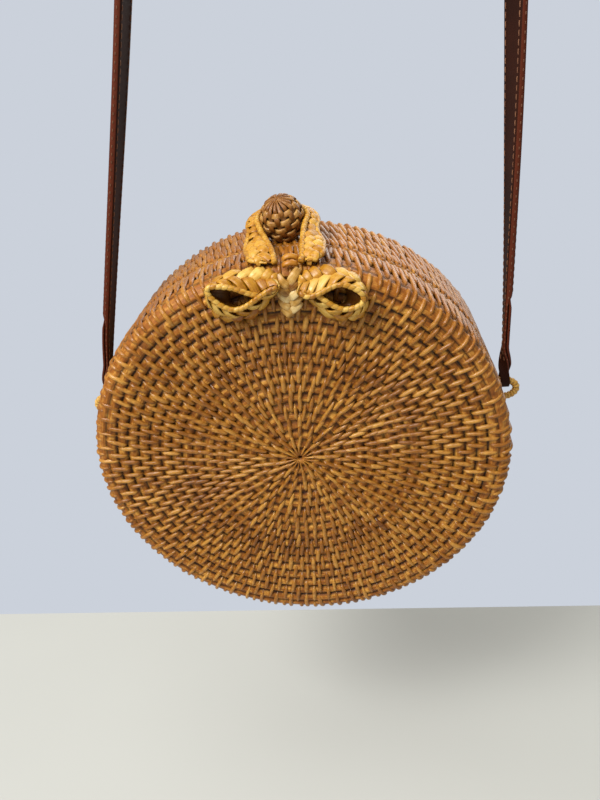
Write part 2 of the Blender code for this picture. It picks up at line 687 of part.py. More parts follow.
def build():
    clear_scene()
    straw = finish_material("straw", (0.46, 0.22, 0.07), 0.55)
    cane = finish_material("cane", (0.40, 0.19, 0.07), 0.5)
    pale_straw = finish_material("pale_straw", (0.72, 0.46, 0.15), 0.5)
    leather = finish_material("leather", (0.12, 0.035, 0.02), 0.45)
    cotton = finish_material("cotton", (0.62, 0.52, 0.38), 0.9)

    hang = body_empty("hang_point", HANG_POINT)
    swing = body_empty("bag_swing_axis", SWING_AXIS, hang)
    lid = body_empty("lid_axis", LID_AXIS, swing)
    clasp = body_empty("clasp_axis", CLASP_AXIS, lid)
    for carrier in (hang, swing, lid, clasp):
        carrier["cut_material"] = cane

    add_object("strap", strap(), leather, hang)

    back_shell = add_object("back_shell", shell(BACK_DEPTH, 1), straw, swing)
    front_shell = add_object("front_shell", shell(FRONT_DEPTH, -1), straw, lid)
    add_object("back_rim_hoop", rim_hoop(1), cane, swing)
    add_object("front_rim_hoop", rim_hoop(-1), cane, lid)
    for name, depth, facing, carrier in (("back_lining", BACK_DEPTH, 1, swing),
                                         ("front_lining", FRONT_DEPTH, -1, lid)):
        inset = WALL + CLEARANCE
        cloth = shell(depth, facing, LINING_THICKNESS, LINING_SET_BACK, inset, LINING_SEGMENTS, False)
        add_object(name, cloth, cotton, carrier)

    for name, x in (("left", -LASHING_SPACING), ("middle", 0), ("right", LASHING_SPACING)):
        add_object("hinge_lashing_" + name, lashing(x), pale_straw, swing)
        add_cutter("back_slot_" + name, lashing_slot(x, 1), swing, back_shell)
        add_cutter("front_slot_" + name, lashing_slot(x, -1), lid, front_shell)

    for name, side in (("left", -1), ("right", 1)):
        add_object("side_ring_" + name, side_ring(side, RING_TUBE), pale_straw, swing)
        add_cutter("ring_hole_" + name, side_ring(side, RING_TUBE + CLEARANCE), swing, back_shell)

    add_object("ball_knob", ball(), cane, swing)
    add_object("knob_stalk", stalk(), cane, swing)
    add_cutter("stalk_hole", stalk_hole(), swing, back_shell)

    add_object("bow_loop_left", bow_loop(-1), pale_straw, lid)
    add_object("bow_loop_right", bow_loop(1), pale_straw, lid)
    add_object("bow_knot", bow_knot(), pale_straw, lid)
    add_object("loop_binding", loop_binding(), pale_straw, lid)
    add_object("closing_loop", closing_loop(), pale_straw, clasp)


build()
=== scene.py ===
"""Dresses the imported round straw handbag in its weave, plaits, leather and cloth.

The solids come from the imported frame, and the ball's peg is shown as it is, with a finish of its own. Every
other piece that shows is made here: coiled halves with their stitches and cloth, a woven ball, a plaited bow
with its closing loop, wound rings and lashings, and a sewn strap. Lengths are in metres, from the middle of
the bag's seam: x to the viewer's right, y to the back, z upwards.
"""
import logging
import math
from dataclasses import dataclass, field
from enum import Enum
from functools import partial
from typing import Callable, NamedTuple, Protocol, Sequence

import bpy
import numpy as np
from mathutils import Matrix, Vector

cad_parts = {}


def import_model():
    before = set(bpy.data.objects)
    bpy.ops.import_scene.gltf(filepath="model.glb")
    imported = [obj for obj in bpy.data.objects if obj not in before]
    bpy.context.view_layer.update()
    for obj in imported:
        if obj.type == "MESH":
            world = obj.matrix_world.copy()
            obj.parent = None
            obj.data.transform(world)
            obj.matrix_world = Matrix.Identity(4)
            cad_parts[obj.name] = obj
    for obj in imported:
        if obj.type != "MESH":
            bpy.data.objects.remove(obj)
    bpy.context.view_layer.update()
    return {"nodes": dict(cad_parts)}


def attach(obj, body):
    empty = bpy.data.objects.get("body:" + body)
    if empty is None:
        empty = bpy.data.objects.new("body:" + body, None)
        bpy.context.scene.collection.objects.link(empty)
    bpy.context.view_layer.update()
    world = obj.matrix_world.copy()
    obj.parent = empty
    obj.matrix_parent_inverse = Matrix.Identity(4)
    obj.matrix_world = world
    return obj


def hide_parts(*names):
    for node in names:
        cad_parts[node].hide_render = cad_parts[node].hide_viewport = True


LOG = logging.getLogger("straw_handbag")
Colour = tuple[float, float, float]
Surface = Callable[[np.ndarray, np.ndarray], np.ndarray]
Numbers = dict[str, np.ndarray]

HANG = np.array((0.036, 0.009, 0.5597))      # the hang point, from the middle of the bag's seam
HEIGHT_SHARE = 0.97                          # the bag's height, as a share of its width
HOOP_REACH = 0.0975                          # from the bag's middle to the middle of a rim hoop
HOOP_LEVEL = 0.0027                          # from the seam to the middle of a rim hoop
SET_BACK = 0.0090                            # from the seam back to the side rings and the strap
BALL_MIDDLE = (-0.0019, 0.0090)              # the woven ball's middle, across and back from the bag's middle
BALL_RISE = 0.1066                           # and how high it lies above it
LASHINGS = {"left": -0.012, "middle": 0.0, "right": 0.012}
SIDES = {"left": -1, "right": 1}
STRAND_NUMBERS = ("tint", "along", "across", "height", "tone", "blush")
QUARTER = math.pi / 2


class Body(Enum):
    """The moving bodies of the frame."""
    STRAP = "strap"
    BACK = "back_half"
    FRONT = "front_half"
    CLASP = "clasp"


class Slot(Enum):
    """Names of material slots."""
    STRAW = "straw"
    CANE = "cane"
    PALE = "pale_straw"
    LEATHER = "leather"
    COTTON = "cotton"


# Shader trees

class Graph:
    """A shader tree under construction."""

    def __init__(self, tree: bpy.types.NodeTree) -> None:
        """Takes the tree to add to."""
        self.tree = tree

    def node(self, kind: str, settings: dict | None = None, inputs: dict | None = None) -> bpy.types.Node:
        """Adds one node.

        Args:
            kind: The node's type.
            settings: Its properties, set first; "stops" fills a colour ramp.
            inputs: Values or links for its sockets, by name or place.

        Returns:
            The node.
        """
        node = self.tree.nodes.new(kind)
        for key, entry in (settings or {}).items():
            if key == "stops":
                ramp = node.color_ramp
                while len(ramp.elements) < len(entry):
                    ramp.elements.new(0.5)
                for element, (place, colour) in zip(ramp.elements, entry):
                    element.position = place
                    element.color = (*colour, 1)
            else:
                setattr(node, key, entry)
        for key, entry in (inputs or {}).items():
            self.feed(node.inputs[key], entry)
        return node

    def feed(self, socket: bpy.types.NodeSocket, entry: object) -> None:
        """Fills one input.

        Args:
            socket: The input.
            entry: A value or socket to link, or numbers to set.
        """
        if isinstance(entry, Value):
            self.tree.links.new(entry.socket, socket)
        elif isinstance(entry, bpy.types.NodeSocket):
            self.tree.links.new(entry, socket)
        elif isinstance(entry, tuple):
            socket.default_value = (*entry, 1)
        else:
            socket.default_value = entry

    def mixed(self, share: "Value | float", low: object, high: object) -> bpy.types.NodeSocket:
        """Mixes two colours.

        Args:
            share: 0 for the first colour to 1 for the second.
            low: The first colour.
            high: The second colour.

        Returns:
            The mix.
        """
        return self.node("ShaderNodeMix", {"data_type": "RGBA"}, {0: share, 6: low, 7: high}).outputs[2]


class Value:
    """A shader socket that holds one number and takes part in sums."""

    def __init__(self, graph: Graph, socket: bpy.types.NodeSocket) -> None:
        """Wraps one output socket of a graph."""
        self.graph = graph
        self.socket = socket

    def _math(self, operation: str, *inputs: "Value | float") -> "Value":
        """Adds a Math node with these inputs."""
        node = self.graph.node("ShaderNodeMath", {"operation": operation}, dict(enumerate(inputs)))
        return Value(self.graph, node.outputs[0])

    def __add__(self, other: "Value | float") -> "Value":
        """Sum."""
        return self._math("ADD", self, other)

    __radd__ = __add__

    def __sub__(self, other: "Value | float") -> "Value":
        """Difference."""
        return self._math("SUBTRACT", self, other)

    def __rsub__(self, other: float) -> "Value":
        """A number less this value."""
        return self._math("SUBTRACT", other, self)

    def __mul__(self, other: "Value | float") -> "Value":
        """Product."""
        return self._math("MULTIPLY", self, other)

    __rmul__ = __mul__

    def __truediv__(self, other: "Value | float") -> "Value":
        """Quotient."""
        return self._math("DIVIDE", self, other)

    def wave(self) -> "Value":
        """The sine of this value."""
        return self._math("SINE", self)

    def clamped(self) -> "Value":
        """This value, kept from 0 to 1."""
        return self._math("MAXIMUM", self._math("MINIMUM", self, 1.0), 0.0)

    def step(self, low: float, high: float) -> "Value":
        """0 below low, 1 above high, and straight between."""
        return ((self - low) / (high - low)).clamped()


class Recipe(Graph):
    """One material under construction."""

    def __init__(self, name: str) -> None:
        """Starts a material with one Principled shader.

        Args:
            name: The material's name.
        """
        self.material = bpy.data.materials.new(name)
        self.material.use_nodes = True
        super().__init__(self.material.node_tree)
        self.tree.nodes.clear()
        self.shader = self.node("ShaderNodeBsdfPrincipled")
        self.node("ShaderNodeOutputMaterial", inputs={"Surface": self.shader.outputs[0]})

    def attribute(self, name: str) -> Value:
        """A number that the mesh carries."""
        return Value(self, self.node("ShaderNodeAttribute", {"attribute_name": name}).outputs["Fac"])

    def position(self, scale: float) -> bpy.types.NodeSocket:
        """The place on the object at rest, times a scale."""
        place = self.node("ShaderNodeTexCoord").outputs["Object"]
        node = self.node("ShaderNodeVectorMath", {"operation": "SCALE"}, {0: place, "Scale": scale})
        return node.outputs[0]

    def axes(self, scale: float) -> tuple[Value, ...]:
        """The three parts of the place on the object, times a scale."""
        split = self.node("ShaderNodeSeparateXYZ", inputs={0: self.position(scale)})
        return tuple(Value(self, socket) for socket in split.outputs)

    def vector(self, *parts: "Value | float") -> bpy.types.NodeSocket:
        """Three numbers as one vector."""
        return self.node("ShaderNodeCombineXYZ", inputs=dict(enumerate(parts))).outputs[0]

    def noise(self, vector: bpy.types.NodeSocket, detail: float = 2.0, roughness: float = 0.5) -> Value:
        """Adds soft noise.

        Args:
            vector: Where to read it.
            detail: Its number of finer layers.
            roughness: The strength of these.

        Returns:
            A value from 0 to 1.
        """
        node = self.node("ShaderNodeTexNoise", inputs={"Vector": vector, "Scale": 1.0, "Detail": detail,
                                                       "Roughness": roughness})
        return Value(self, node.outputs["Fac"])

    def ramp(self, value: Value, stops: Sequence[tuple[float, Colour]]) -> bpy.types.NodeSocket:
        """A colour for each value."""
        return self.node("ShaderNodeValToRGB", {"stops": stops}, {0: value}).outputs[0]

    def bumped(self, height: Value, strength: float, distance: float) -> None:
        """Feeds the shader's normal.

        Args:
            height: The relief.
            strength: Its share, from 0 to 1.
            distance: Its depth.
        """
        node = self.node("ShaderNodeBump", inputs={"Strength": strength, "Distance": distance,
                                                   "Height": height})
        self.feed(self.shader.inputs["Normal"], node.outputs[0])

    def coat(self, colour: object, roughness: "Value | float", specular: float = 0.5,
             sheen: float = 0.0) -> bpy.types.Material:
        """Sets the shader's finish.

        Args:
            colour: Base colour, as numbers or a socket.
            roughness: Roughness, as a number or a value.
            specular: Specular level.
            sheen: Sheen weight.

        Returns:
            The finished material.
        """
        for key, entry in (("Base Color", colour), ("Roughness", roughness), ("Specular IOR Level", specular),
                           ("Sheen Weight", sheen)):
            self.feed(self.shader.inputs[key], entry)
        return self.material


def srgb(red: int, green: int, blue: int) -> Colour:
    """Turns a screen colour into the shader's linear numbers.

    Args:
        red: 0 to 255.
        green: 0 to 255.
        blue: 0 to 255.

    Returns:
        The linear colour.
    """
    levels = (level / 255 for level in (red, green, blue))
    return tuple(level / 12.92 if level <= 0.04045 else ((level + 0.055) / 1.055) ** 2.4 for level in levels)


# Finishes

class Finish(Protocol):
    """Anything that makes a material."""

    def make(self) -> bpy.types.Material:
        """Builds the material."""


@dataclass(frozen=True)
class StrandFinish:
    """Plant fibre in strands: tinted one by one, streaked along, dark with painted shade where it dives."""
    name: str
    # deep: the painted shade colour, for crevices, holes and undersides where a strand lies low
    deep: Colour
    dark: Colour
    body: Colour
    light: Colour
    blush: Colour
    streaks: float = 7.0
    variety: float = 0.24
    roughness: float = 0.5
    relief: float = 0.00022

    def make(self) -> bpy.types.Material:
        """Builds the material from the numbers that each strand carries.

        Returns:
            The material.
        """
        recipe = Recipe(self.name)
        tint, along, across, depth, tone, blush = (recipe.attribute(name) for name in STRAND_NUMBERS)
        lane = recipe.vector(across * self.streaks + tint * 91.0, along * 3.0, tint * 53.0)
        fibre = recipe.noise(lane, 3.0, 0.6)
        patch = recipe.noise(recipe.vector(along * 5.0, tint * 31.0, across * 0.5))
        level = (tint - 0.5) * self.variety + (fibre - 0.5) * 0.85 + (patch - 0.5) * 0.6 + tone + 0.5
        colour = recipe.ramp(level, ((0.0, self.dark), (0.45, self.body), (1.0, self.light)))
        colour = recipe.mixed(blush * (0.4 + patch * 0.8), colour, self.blush)
        # painted shade: the deep colour takes over where the strand's height number is low
        colour = recipe.mixed(depth.step(0.0, 0.75), self.deep, colour)
        recipe.bumped(fibre, 0.55, self.relief)
        return recipe.coat(colour, (1 - fibre) * 0.22 + (self.roughness - 0.1), 0.48)


@dataclass(frozen=True)
class CoilFinish:
    """The coil under the stitches: bundled fibres that run round the bag."""
    name: str
    # deep: the painted shade colour, for the grooves between rows and the stitch holes
    deep: Colour
    dark: Colour
    body: Colour
    light: Colour
    blush: Colour
    lanes: float = 1500.0
    patches: float = 330.0

    def make(self) -> bpy.types.Material:
        """Builds the material from the lane, height and blush numbers of the coil's mesh.

        Returns:
            The material.
        """
        recipe = Recipe(self.name)
        lane, depth, blush = (recipe.attribute(name) for name in ("lane", "height", "blush"))
        east, _, north = recipe.axes(30.0)
        fibre = recipe.noise(recipe.vector(lane * self.lanes, east, north), 2.0, 0.6)
        patch = recipe.noise(recipe.position(self.patches), 1.0)
        level = fibre - 0.5 + (patch - 0.5) * 1.4 + 0.52
        colour = recipe.ramp(level, ((0.0, self.dark), (0.5, self.body), (1.0, self.light)))
        colour = recipe.mixed(blush * 0.4, colour, self.blush)
        # painted shade: the deep colour in the coil's grooves, holes and hub, where its height number is low
        colour = recipe.mixed(depth.step(0.08, 0.80), self.deep, colour)
        recipe.bumped(fibre, 0.9, 0.0003)
        return recipe.coat(colour, 0.52, 0.35)


@dataclass(frozen=True)
class LeatherFinish:
    """Smooth dark leather with fine grain, redder and paler at its cut edges."""
    name: str = "strap_leather"
    face: Colour = srgb(34, 15, 9)
    worn: Colour = srgb(54, 24, 13)
    edge: Colour = srgb(98, 44, 26)
    grains: float = 1700.0

    def make(self) -> bpy.types.Material:
        """Builds the material; the mesh's edge number is 1 on the cut edges.

        Returns:
            The material.
        """
        recipe = Recipe(self.name)
        edge, along = recipe.attribute("edge"), recipe.attribute("along")
        broad = recipe.noise(recipe.position(45.0), 3.0)
        grain = recipe.noise(recipe.position(self.grains), 4.0, 0.65)
        streak = recipe.noise(recipe.vector(along * 260.0, edge * 2.0, 0.0))
        colour = recipe.mixed(broad.step(0.3, 0.75), self.face, self.worn)
        colour = recipe.mixed(edge.step(0.35, 0.9) * (0.55 + streak * 0.6), colour, self.edge)
        recipe.bumped(grain * 0.6 + broad * 0.4, 0.5, 0.00018)
        return recipe.coat(colour, (grain - 0.5) * 0.25 + 0.58, 0.12)


@dataclass(frozen=True)
class ThreadFinish:
    """Waxed sewing thread, with its twist in the relief."""
    name: str = "strap_thread"
    body: Colour = srgb(92, 52, 34)
    light: Colour = srgb(140, 96, 66)

    def make(self) -> bpy.types.Material:
        """Builds the material.

        Returns:
            The material.
        """
        recipe = Recipe(self.name)
        tint, along, across = (recipe.attribute(name) for name in STRAND_NUMBERS[:3])
        twist = (along * 30.0 + across * 3.0).wave() * 0.5 + 0.5
        recipe.bumped(twist, 0.6, 0.00006)
        return recipe.coat(recipe.mixed(tint * 0.6 + twist * 0.4, self.body, self.light), 0.6, 0.35)


@dataclass(frozen=True)
class ClothFinish:
    """Undyed plain-woven cotton, with a fine square weave in its relief."""
    name: str = "lining_cotton"
    body: Colour = srgb(205, 190, 160)
    shade: Colour = srgb(168, 150, 118)
    threads: float = 5200.0

    def make(self) -> bpy.types.Material:
        """Builds the material.

        Returns:
            The material.
        """
        recipe = Recipe(self.name)
        east, _, north = recipe.axes(self.threads)
        weave = east.wave() * north.wave() * 0.5 + 0.5
        slub = recipe.noise(recipe.position(160.0), 3.0)
        recipe.bumped(weave * 0.5 + slub * 0.5, 0.6, 0.0002)
        share = (slub * 0.7 + weave * 0.3).step(0.25, 0.75)
        return recipe.coat(recipe.mixed(share, self.shade, self.body), 0.88, 0.2, 0.15)


@dataclass(frozen=True)
class CaneFinish:
    """A peg of split cane, with its grain along the peg."""
    name: str = "peg_cane"
    dark: Colour = srgb(112, 68, 28)
    light: Colour = srgb(186, 134, 72)
    grains: float = 2400.0

    def make(self) -> bpy.types.Material:
        """Builds the material, finely streaked upwards.

        Returns:
            The material.
        """
        recipe = Recipe(self.name)
        east, north, up = recipe.axes(1.0)
        grain = recipe.noise(recipe.vector(east * self.grains, north * self.grains, up * 130.0), 3.0, 0.6)
        recipe.bumped(grain, 0.5, 0.0001)
        colour = recipe.mixed(grain.step(0.25, 0.75), self.dark, self.light)
        return recipe.coat(colour, (1 - grain) * 0.2 + 0.4)

    def paint(self, item: bpy.types.Object) -> None:
        """Puts the finish on a solid that is shown as it is.

        Args:
            item: The solid.
        """
        material = self.make()
        if not item.material_slots:
            item.data.materials.append(material)
        for place in item.material_slots:
            place.link = "OBJECT"
            place.material = material


@dataclass(frozen=True)
class StudioFinish:
    """A plain pale surface of the studio, with a trace of unevenness."""
    name: str
    colour: Colour

    def make(self) -> bpy.types.Material:
        """Builds the material.

        Returns:
            The material.
        """
        recipe = Recipe(self.name)
        low = tuple(level * 0.965 for level in self.colour)
        recipe.bumped(recipe.noise(recipe.position(120.0)), 0.1, 0.0006)
        return recipe.coat(recipe.mixed(recipe.noise(recipe.position(9.0)), low, self.colour), 0.85, 0.2)


# Meshes

def unit(vectors: np.ndarray) -> np.ndarray:
    """Vectors at length one."""
    return vectors / np.maximum(np.linalg.norm(vectors, axis=-1, keepdims=True), 1e-12)


def smooth(share: np.ndarray) -> np.ndarray:
    """An eased step from 0 to 1."""
    share = np.clip(share, 0, 1)
    return share * share * (3 - 2 * share)


def travelled(points: np.ndarray) -> np.ndarray:
    """The length of a line up to each of its points."""
    return np.concatenate([[0], np.cumsum(np.linalg.norm(np.diff(points, axis=0), axis=1))])


def read_off(where: np.ndarray, ruler: np.ndarray, table: np.ndarray) -> np.ndarray:
    """Reads a table between its rows.

    Args:
        where: Places along the ruler.
        ruler: The place of each row.
        table: The rows.

    Returns:
        One row for each place.
    """
    flat = where.ravel()
    columns = table if table.ndim == 2 else table[:, None]
    return np.stack([np.interp(flat, ruler, column) for column in columns.T], -1).reshape(*where.shape, -1)


def round_turn(count: int) -> np.ndarray:
    """Evenly spaced angles all the way round."""
    return np.arange(count) * math.tau / count


def even(size: tuple[int, ...], **levels: float) -> Numbers:
    """The same number at every point, for each name."""
    return {key: np.full(size, level) for key, level in levels.items()}


def quads(rows: int, columns: int, around: bool = True, looped: bool = False) -> np.ndarray:
    """Joins a grid of points with faces.

    Args:
        rows: Rows of the grid.
        columns: Points in a row.
        around: True where each row closes on itself.
        looped: True where the last row meets the first.

    Returns:
        Four vertex numbers for each face.
    """
    index = np.arange(rows * columns).reshape(rows, columns)
    beside = np.roll(index, -1, 1)
    faces = np.stack([index, beside, np.roll(beside, -1, 0), np.roll(index, -1, 0)], -1)
    faces = faces if looped else faces[:-1]
    return (faces if around else faces[:, :-1]).reshape(-1, 4)


def end_caps(rows: int, columns: int) -> list[list[int]]:
    """The two faces that close a tube's ends."""
    last = rows * columns
    return [list(range(columns))[::-1], list(range(last - columns, last))]


def mesh_object(name: str, points: np.ndarray, faces: np.ndarray, numbers: Numbers, finish: Finish,
                caps: Sequence[list[int]] = (), flat: bool = False) -> bpy.types.Object:
    """Makes one object from points in the bag's own frame.

    Args:
        name: The piece's name.
        points: Places, three numbers each.
        faces: Four vertex numbers for each face.
        numbers: Values that the mesh carries at its points, for the material.
        finish: The piece's finish.
        caps: Further faces of any size.
        flat: True to leave its faces flat.

    Returns:
        The object, linked to the scene.
    """
    mesh = bpy.data.meshes.new(name)
    mesh.from_pydata((points.reshape(-1, 3) - HANG).tolist(), [], faces.tolist() + list(caps))
    for key, entry in numbers.items():
        layer = mesh.attributes.new(key, "FLOAT", "POINT")
        layer.data.foreach_set("value", np.ascontiguousarray(entry, dtype=np.float32).ravel())
    if not flat:
        mesh.shade_smooth()
    mesh.update()
    mesh.materials.append(finish.make())
    item = bpy.data.objects.new(name, mesh)
    bpy.context.scene.collection.objects.link(item)
    return item


def settle(item: bpy.types.Object, body: Body, node: str) -> None:
    """Puts a piece in its place in the frame.

    Args:
        item: The piece.
        body: What it moves with.
        node: The solid that it stands for.
    """
    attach(item, body.value)
    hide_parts(node)
    LOG.info("%s: %d faces on %s", item.name, len(item.data.polygons), body.value)


class Section(Enum):
    """Outlines of a strand, as across and up shares of its half sizes."""
    ARCH = ((-1.0, -1.0), (-0.86, 0.1), (-0.45, 0.82), (0.0, 1.0), (0.45, 0.82), (0.86, 0.1), (1.0, -1.0))
    STRAP = ((-1.0, -0.2), (-0.82, 0.75), (-0.3, 1.0), (0.3, 1.0), (0.82, 0.75), (1.0, -0.2), (0.6, -1.0),
             (-0.6, -1.0))
    THREAD = ((-1.0, -0.3), (-0.5, 0.8), (0.5, 0.8), (1.0, -0.3))


@dataclass
class Strands:
    """Strands of one kind, gathered into one mesh."""
    section: Section
    closed: bool = False
    parts: list[tuple[np.ndarray, ...]] = field(default_factory=list)

    def add(self, path: np.ndarray, up: np.ndarray, half_width: np.ndarray | float,
            half_thick: np.ndarray | float, tint: np.ndarray, tone: np.ndarray | float = 0.0,
            blush: np.ndarray | float = 0.0, height: np.ndarray | float = 1.0) -> None:
        """Adds strands that have the same number of steps.

        Args:
            path: Centre lines, as strands by steps by three.
            up: The way each strand's outer face looks, shaped as the path.
            half_width: Half the width, at each step or for all.
            half_thick: Half the thickness, at each step or for all.
            tint: One number from 0 to 1 for each strand.
            tone: Lighter or darker, at each step or for all.
            blush: Share of the second colour, at each step or for all.
            height: 0 where a strand lies deep to 1 where it lies on top; low values get painted shade.
        """
        travel = unit(np.gradient(path, axis=1))
        across = unit(np.cross(travel, up))
        up = unit(np.cross(across, travel))
        shape = path.shape[:2]
        spread = [np.broadcast_to(np.asarray(entry, float), shape)
                  for entry in (half_width, half_thick, tone, blush, height, np.asarray(tint)[:, None])]
        self.parts.append((path, across, up, *spread))

    def mesh(self, name: str, finish: Finish) -> bpy.types.Object:
        """Joins all the strands into one object.

        Args:
            name: The object's name.
            finish: Its finish.

        Returns:
            The object.
        """
        outline = np.array(self.section.value)
        count = len(outline)
        last = count if self.closed else count - 1
        # painted shade: the height number falls towards each strand's underside, so its lower sides take the
        # deep colour
        edge = 0.55 + 0.45 * np.clip(outline[:, 1] + 0.1, 0, 1)
        points, faces, start = [], [], 0
        numbers: dict[str, list[np.ndarray]] = {key: [] for key in STRAND_NUMBERS}
        for path, across, up, half_width, half_thick, tone, blush, height, tint in self.parts:
            strands, steps = path.shape[:2]
            size = (strands, steps, count)
            ring = (path[:, :, None] + across[:, :, None] * (half_width[:, :, None, None] * outline[:, :1])
                    + up[:, :, None] * (half_thick[:, :, None, None] * outline[:, 1:]))
            points.append(ring.reshape(-1, 3))
            length = np.stack([travelled(line) for line in path]) * 100
            for key, entry in (("along", length), ("height", height), ("tint", tint), ("tone", tone),
                               ("blush", blush)):
                share = edge if key == "height" else 1.0
                numbers[key].append(np.broadcast_to(entry[:, :, None] * share, size).ravel())
            numbers["across"].append(np.broadcast_to(outline[:, 0], size).ravel())
            index = start + np.arange(strands * steps * count).reshape(size)
            beside = np.roll(index, -1, axis=2)
            faces.append(np.stack([index[:, :-1, :last], index[:, 1:, :last], beside[:, 1:, :last],
                                   beside[:, :-1, :last]], axis=-1).reshape(-1, 4))
            start += strands * steps * count
        joined = {key: np.concatenate(entries) for key, entries in numbers.items()}
        return mesh_object(name, np.concatenate(points), np.concatenate(faces), joined, finish)


def wound(name: str, path: np.ndarray, reference: np.ndarray, radius: np.ndarray | float, pitch: float,
          relief: float, finish: Finish, ring: bool = True, sides: int = 14,
          tone: float = 0.0) -> bpy.types.Object:
    """Makes a core wound round with one flat strand, as relief on a tube.

    Args:
        name: The piece's name.
        path: Centre line, evenly stepped.
        reference: One side of the tube at each step, across the line.
        radius: Outer radius, at each step or for all.
        pitch: Width of one turn of the winding.
        relief: Depth of the groove between turns, as a share of the radius.
        finish: A strand finish.
        ring: True where the line closes on itself.
        sides: Points round the tube.
        tone: Lighter or darker.

    Returns:
        The object.
    """
    steps = len(path)
    travel = unit(np.roll(path, -1, 0) - np.roll(path, 1, 0) if ring else np.gradient(path, axis=0))
    side = unit(np.cross(travel, reference))
    front = unit(np.cross(side, travel))
    along = travelled(path)
    turns = along / pitch
    if ring:
        total = along[-1] + np.linalg.norm(path[0] - path[-1])
        turns = along * round(total / pitch) / total
    angle = round_turn(sides)
    winding = turns[:, None] + angle / math.tau
    phase = winding % 1
    swell = np.abs(np.sin(math.pi * phase)) ** 0.45
    reach = np.broadcast_to(radius, steps)[:, None] * (1 - relief * (1 - swell))
    points = (path[:, None] + front[:, None] * (reach * np.cos(angle))[..., None]
              + side[:, None] * (reach * np.sin(angle))[..., None])
    numbers = even(phase.shape, tone=tone, blush=0.0)
    numbers["tint"] = (np.sin(np.floor(winding) * 12.9898) * 43758.5453) % 1
    numbers["along"] = np.broadcast_to(angle * 0.4, phase.shape)
    numbers["across"] = phase * 2 - 1
    # painted shade in the groove between turns of the winding
    numbers["height"] = 0.15 + 0.85 * swell
    caps = () if ring else end_caps(steps, sides)
    return mesh_object(name, points, quads(steps, sides, looped=ring), numbers, finish, caps)


def band_frame(surface: Surface, along: np.ndarray, across: np.ndarray) -> tuple[np.ndarray, np.ndarray]:
    """Finds places on a band.

    Args:
        surface: The band.
        along: Shares of its length.
        across: Shares of its half width.

    Returns:
        The places and the normals there.
    """
    step = 1e-4
    run = surface(along + step, across) - surface(along - step, across)
    wide = surface(along, across + step) - surface(along, across - step)
    return surface(along, across), unit(np.cross(wide, run))


@dataclass(frozen=True)
class Plait:
    """A flat plait: leaves that sweep in from its edges and dive under each other at the middle."""
    leaves: int
    half_width: float
    half_thick: float = 0.00050
    lift: float = 0.00085
    sunk: float = 0.0008
    sweep: float = 1.3
    past: float = 0.30
    shingle: float = 0.30
    edges: tuple[float, ...] = (1.0, -1.0)
    closed: bool = False
    seed: int = 1

    def weave(self, gather: Strands, surface: Surface, facing: float = 1.0) -> None:
        """Adds the plait's leaves over a band.

        Args:
            gather: The strands' mesh.
            surface: Places on the band, for 0 to 1 along and -1 to 1 across.
            facing: 1 or -1, the side of the band that is outside.
        """
        rng = np.random.default_rng(self.seed)
        share = np.linspace(0, 1, 13)[None]
        lift = (0.42 + 0.58 * smooth(share / 0.34)) * smooth((1 - share) / 0.42)
        taper = 0.66 + 0.34 * np.sin(math.pi * (0.16 + 0.84 * share)) ** 0.7
        for side in self.edges:
            place = np.arange(self.leaves) + (0.0 if side > 0 else 0.5) + rng.normal(0, 0.06, self.leaves)
            along = place[:, None] + self.sweep * rng.normal(1, 0.08, self.leaves)[:, None] * share
            if self.closed:
                along = along / self.leaves
            else:
                along = np.clip(along / (self.leaves - 0.5 + self.sweep), 0.0, 1.0) * 0.98 + 0.01
            across = side * (1.0 - (1.0 + self.past) * share)
            point, normal = band_frame(surface, along, across)
            normal = normal * facing
            forward = unit(surface(along + 1e-3, across) - surface(along - 1e-3, across))
            rise = (self.lift + self.sunk) * lift - self.sunk
            rise = rise + rng.normal(0, 0.00013, self.leaves)[:, None] * lift
            half = self.half_width * rng.normal(1, 0.09, self.leaves)[:, None] * taper
            tint = rng.uniform(0.0, 1.0, self.leaves)
            # painted light on the raised middle of each leaf and painted shade where it sinks and dives under
            # the next one
            tone = 0.16 * lift - 0.10 + rng.normal(0, 0.07, self.leaves)[:, None]
            gather.add(point + normal * rise[..., None], unit(normal - forward * self.shingle), half,
                       self.half_thick, tint, tone, 0.30 * (1 - lift), 0.22 + 0.78 * lift ** 0.8)


def part_of(surface: Surface, middle: float, half: float, begin: float = 0.0, reach: float = 1.0) -> Surface:
    """Cuts a band out of a wider one.

    Args:
        surface: The wider band.
        middle: The cut's middle across it.
        half: The cut's half width, as a share of the band's.
        begin: Where the cut starts along the band.
        reach: The cut's length, as a share of the band's.

    Returns:
        The cut, as a band of its own.
    """
    return lambda along, across: surface(begin + reach * along, middle + half * across)


def under_layer(name: str, surface: Surface, along: np.ndarray, across: np.ndarray, sink: float,
                fibres: float, finish: Finish, levels: dict[str, float], closed: bool = False,
                drawn: float = 0.0) -> bpy.types.Object:
    """Makes the plain layer under a plait.

    Args:
        name: The piece's name.
        surface: The band that the plait covers.
        along: The layer's places along it.
        across: Its places across it.
        sink: How far it lies along the band's normal.
        fibres: How far its fibres run along the band.
        finish: Its finish.
        levels: Numbers that are the same all over it.
        closed: True where the band closes on itself.
        drawn: How far its outer edge draws in towards its middle.

    Returns:
        The object.
    """
    along, across = np.broadcast_arrays(along, across[:, None])
    place, normal = band_frame(surface, along, across)
    points = place + normal * sink
    heart = points.mean(axis=1, keepdims=True)
    points = points + (heart - points) * (drawn * smooth((across[..., None] + 0.6) / 1.4))
    numbers = even(along.shape, **levels) | {"along": along * fibres, "across": across * 3}
    return mesh_object(name, points, quads(*along.shape, around=closed), numbers, finish)


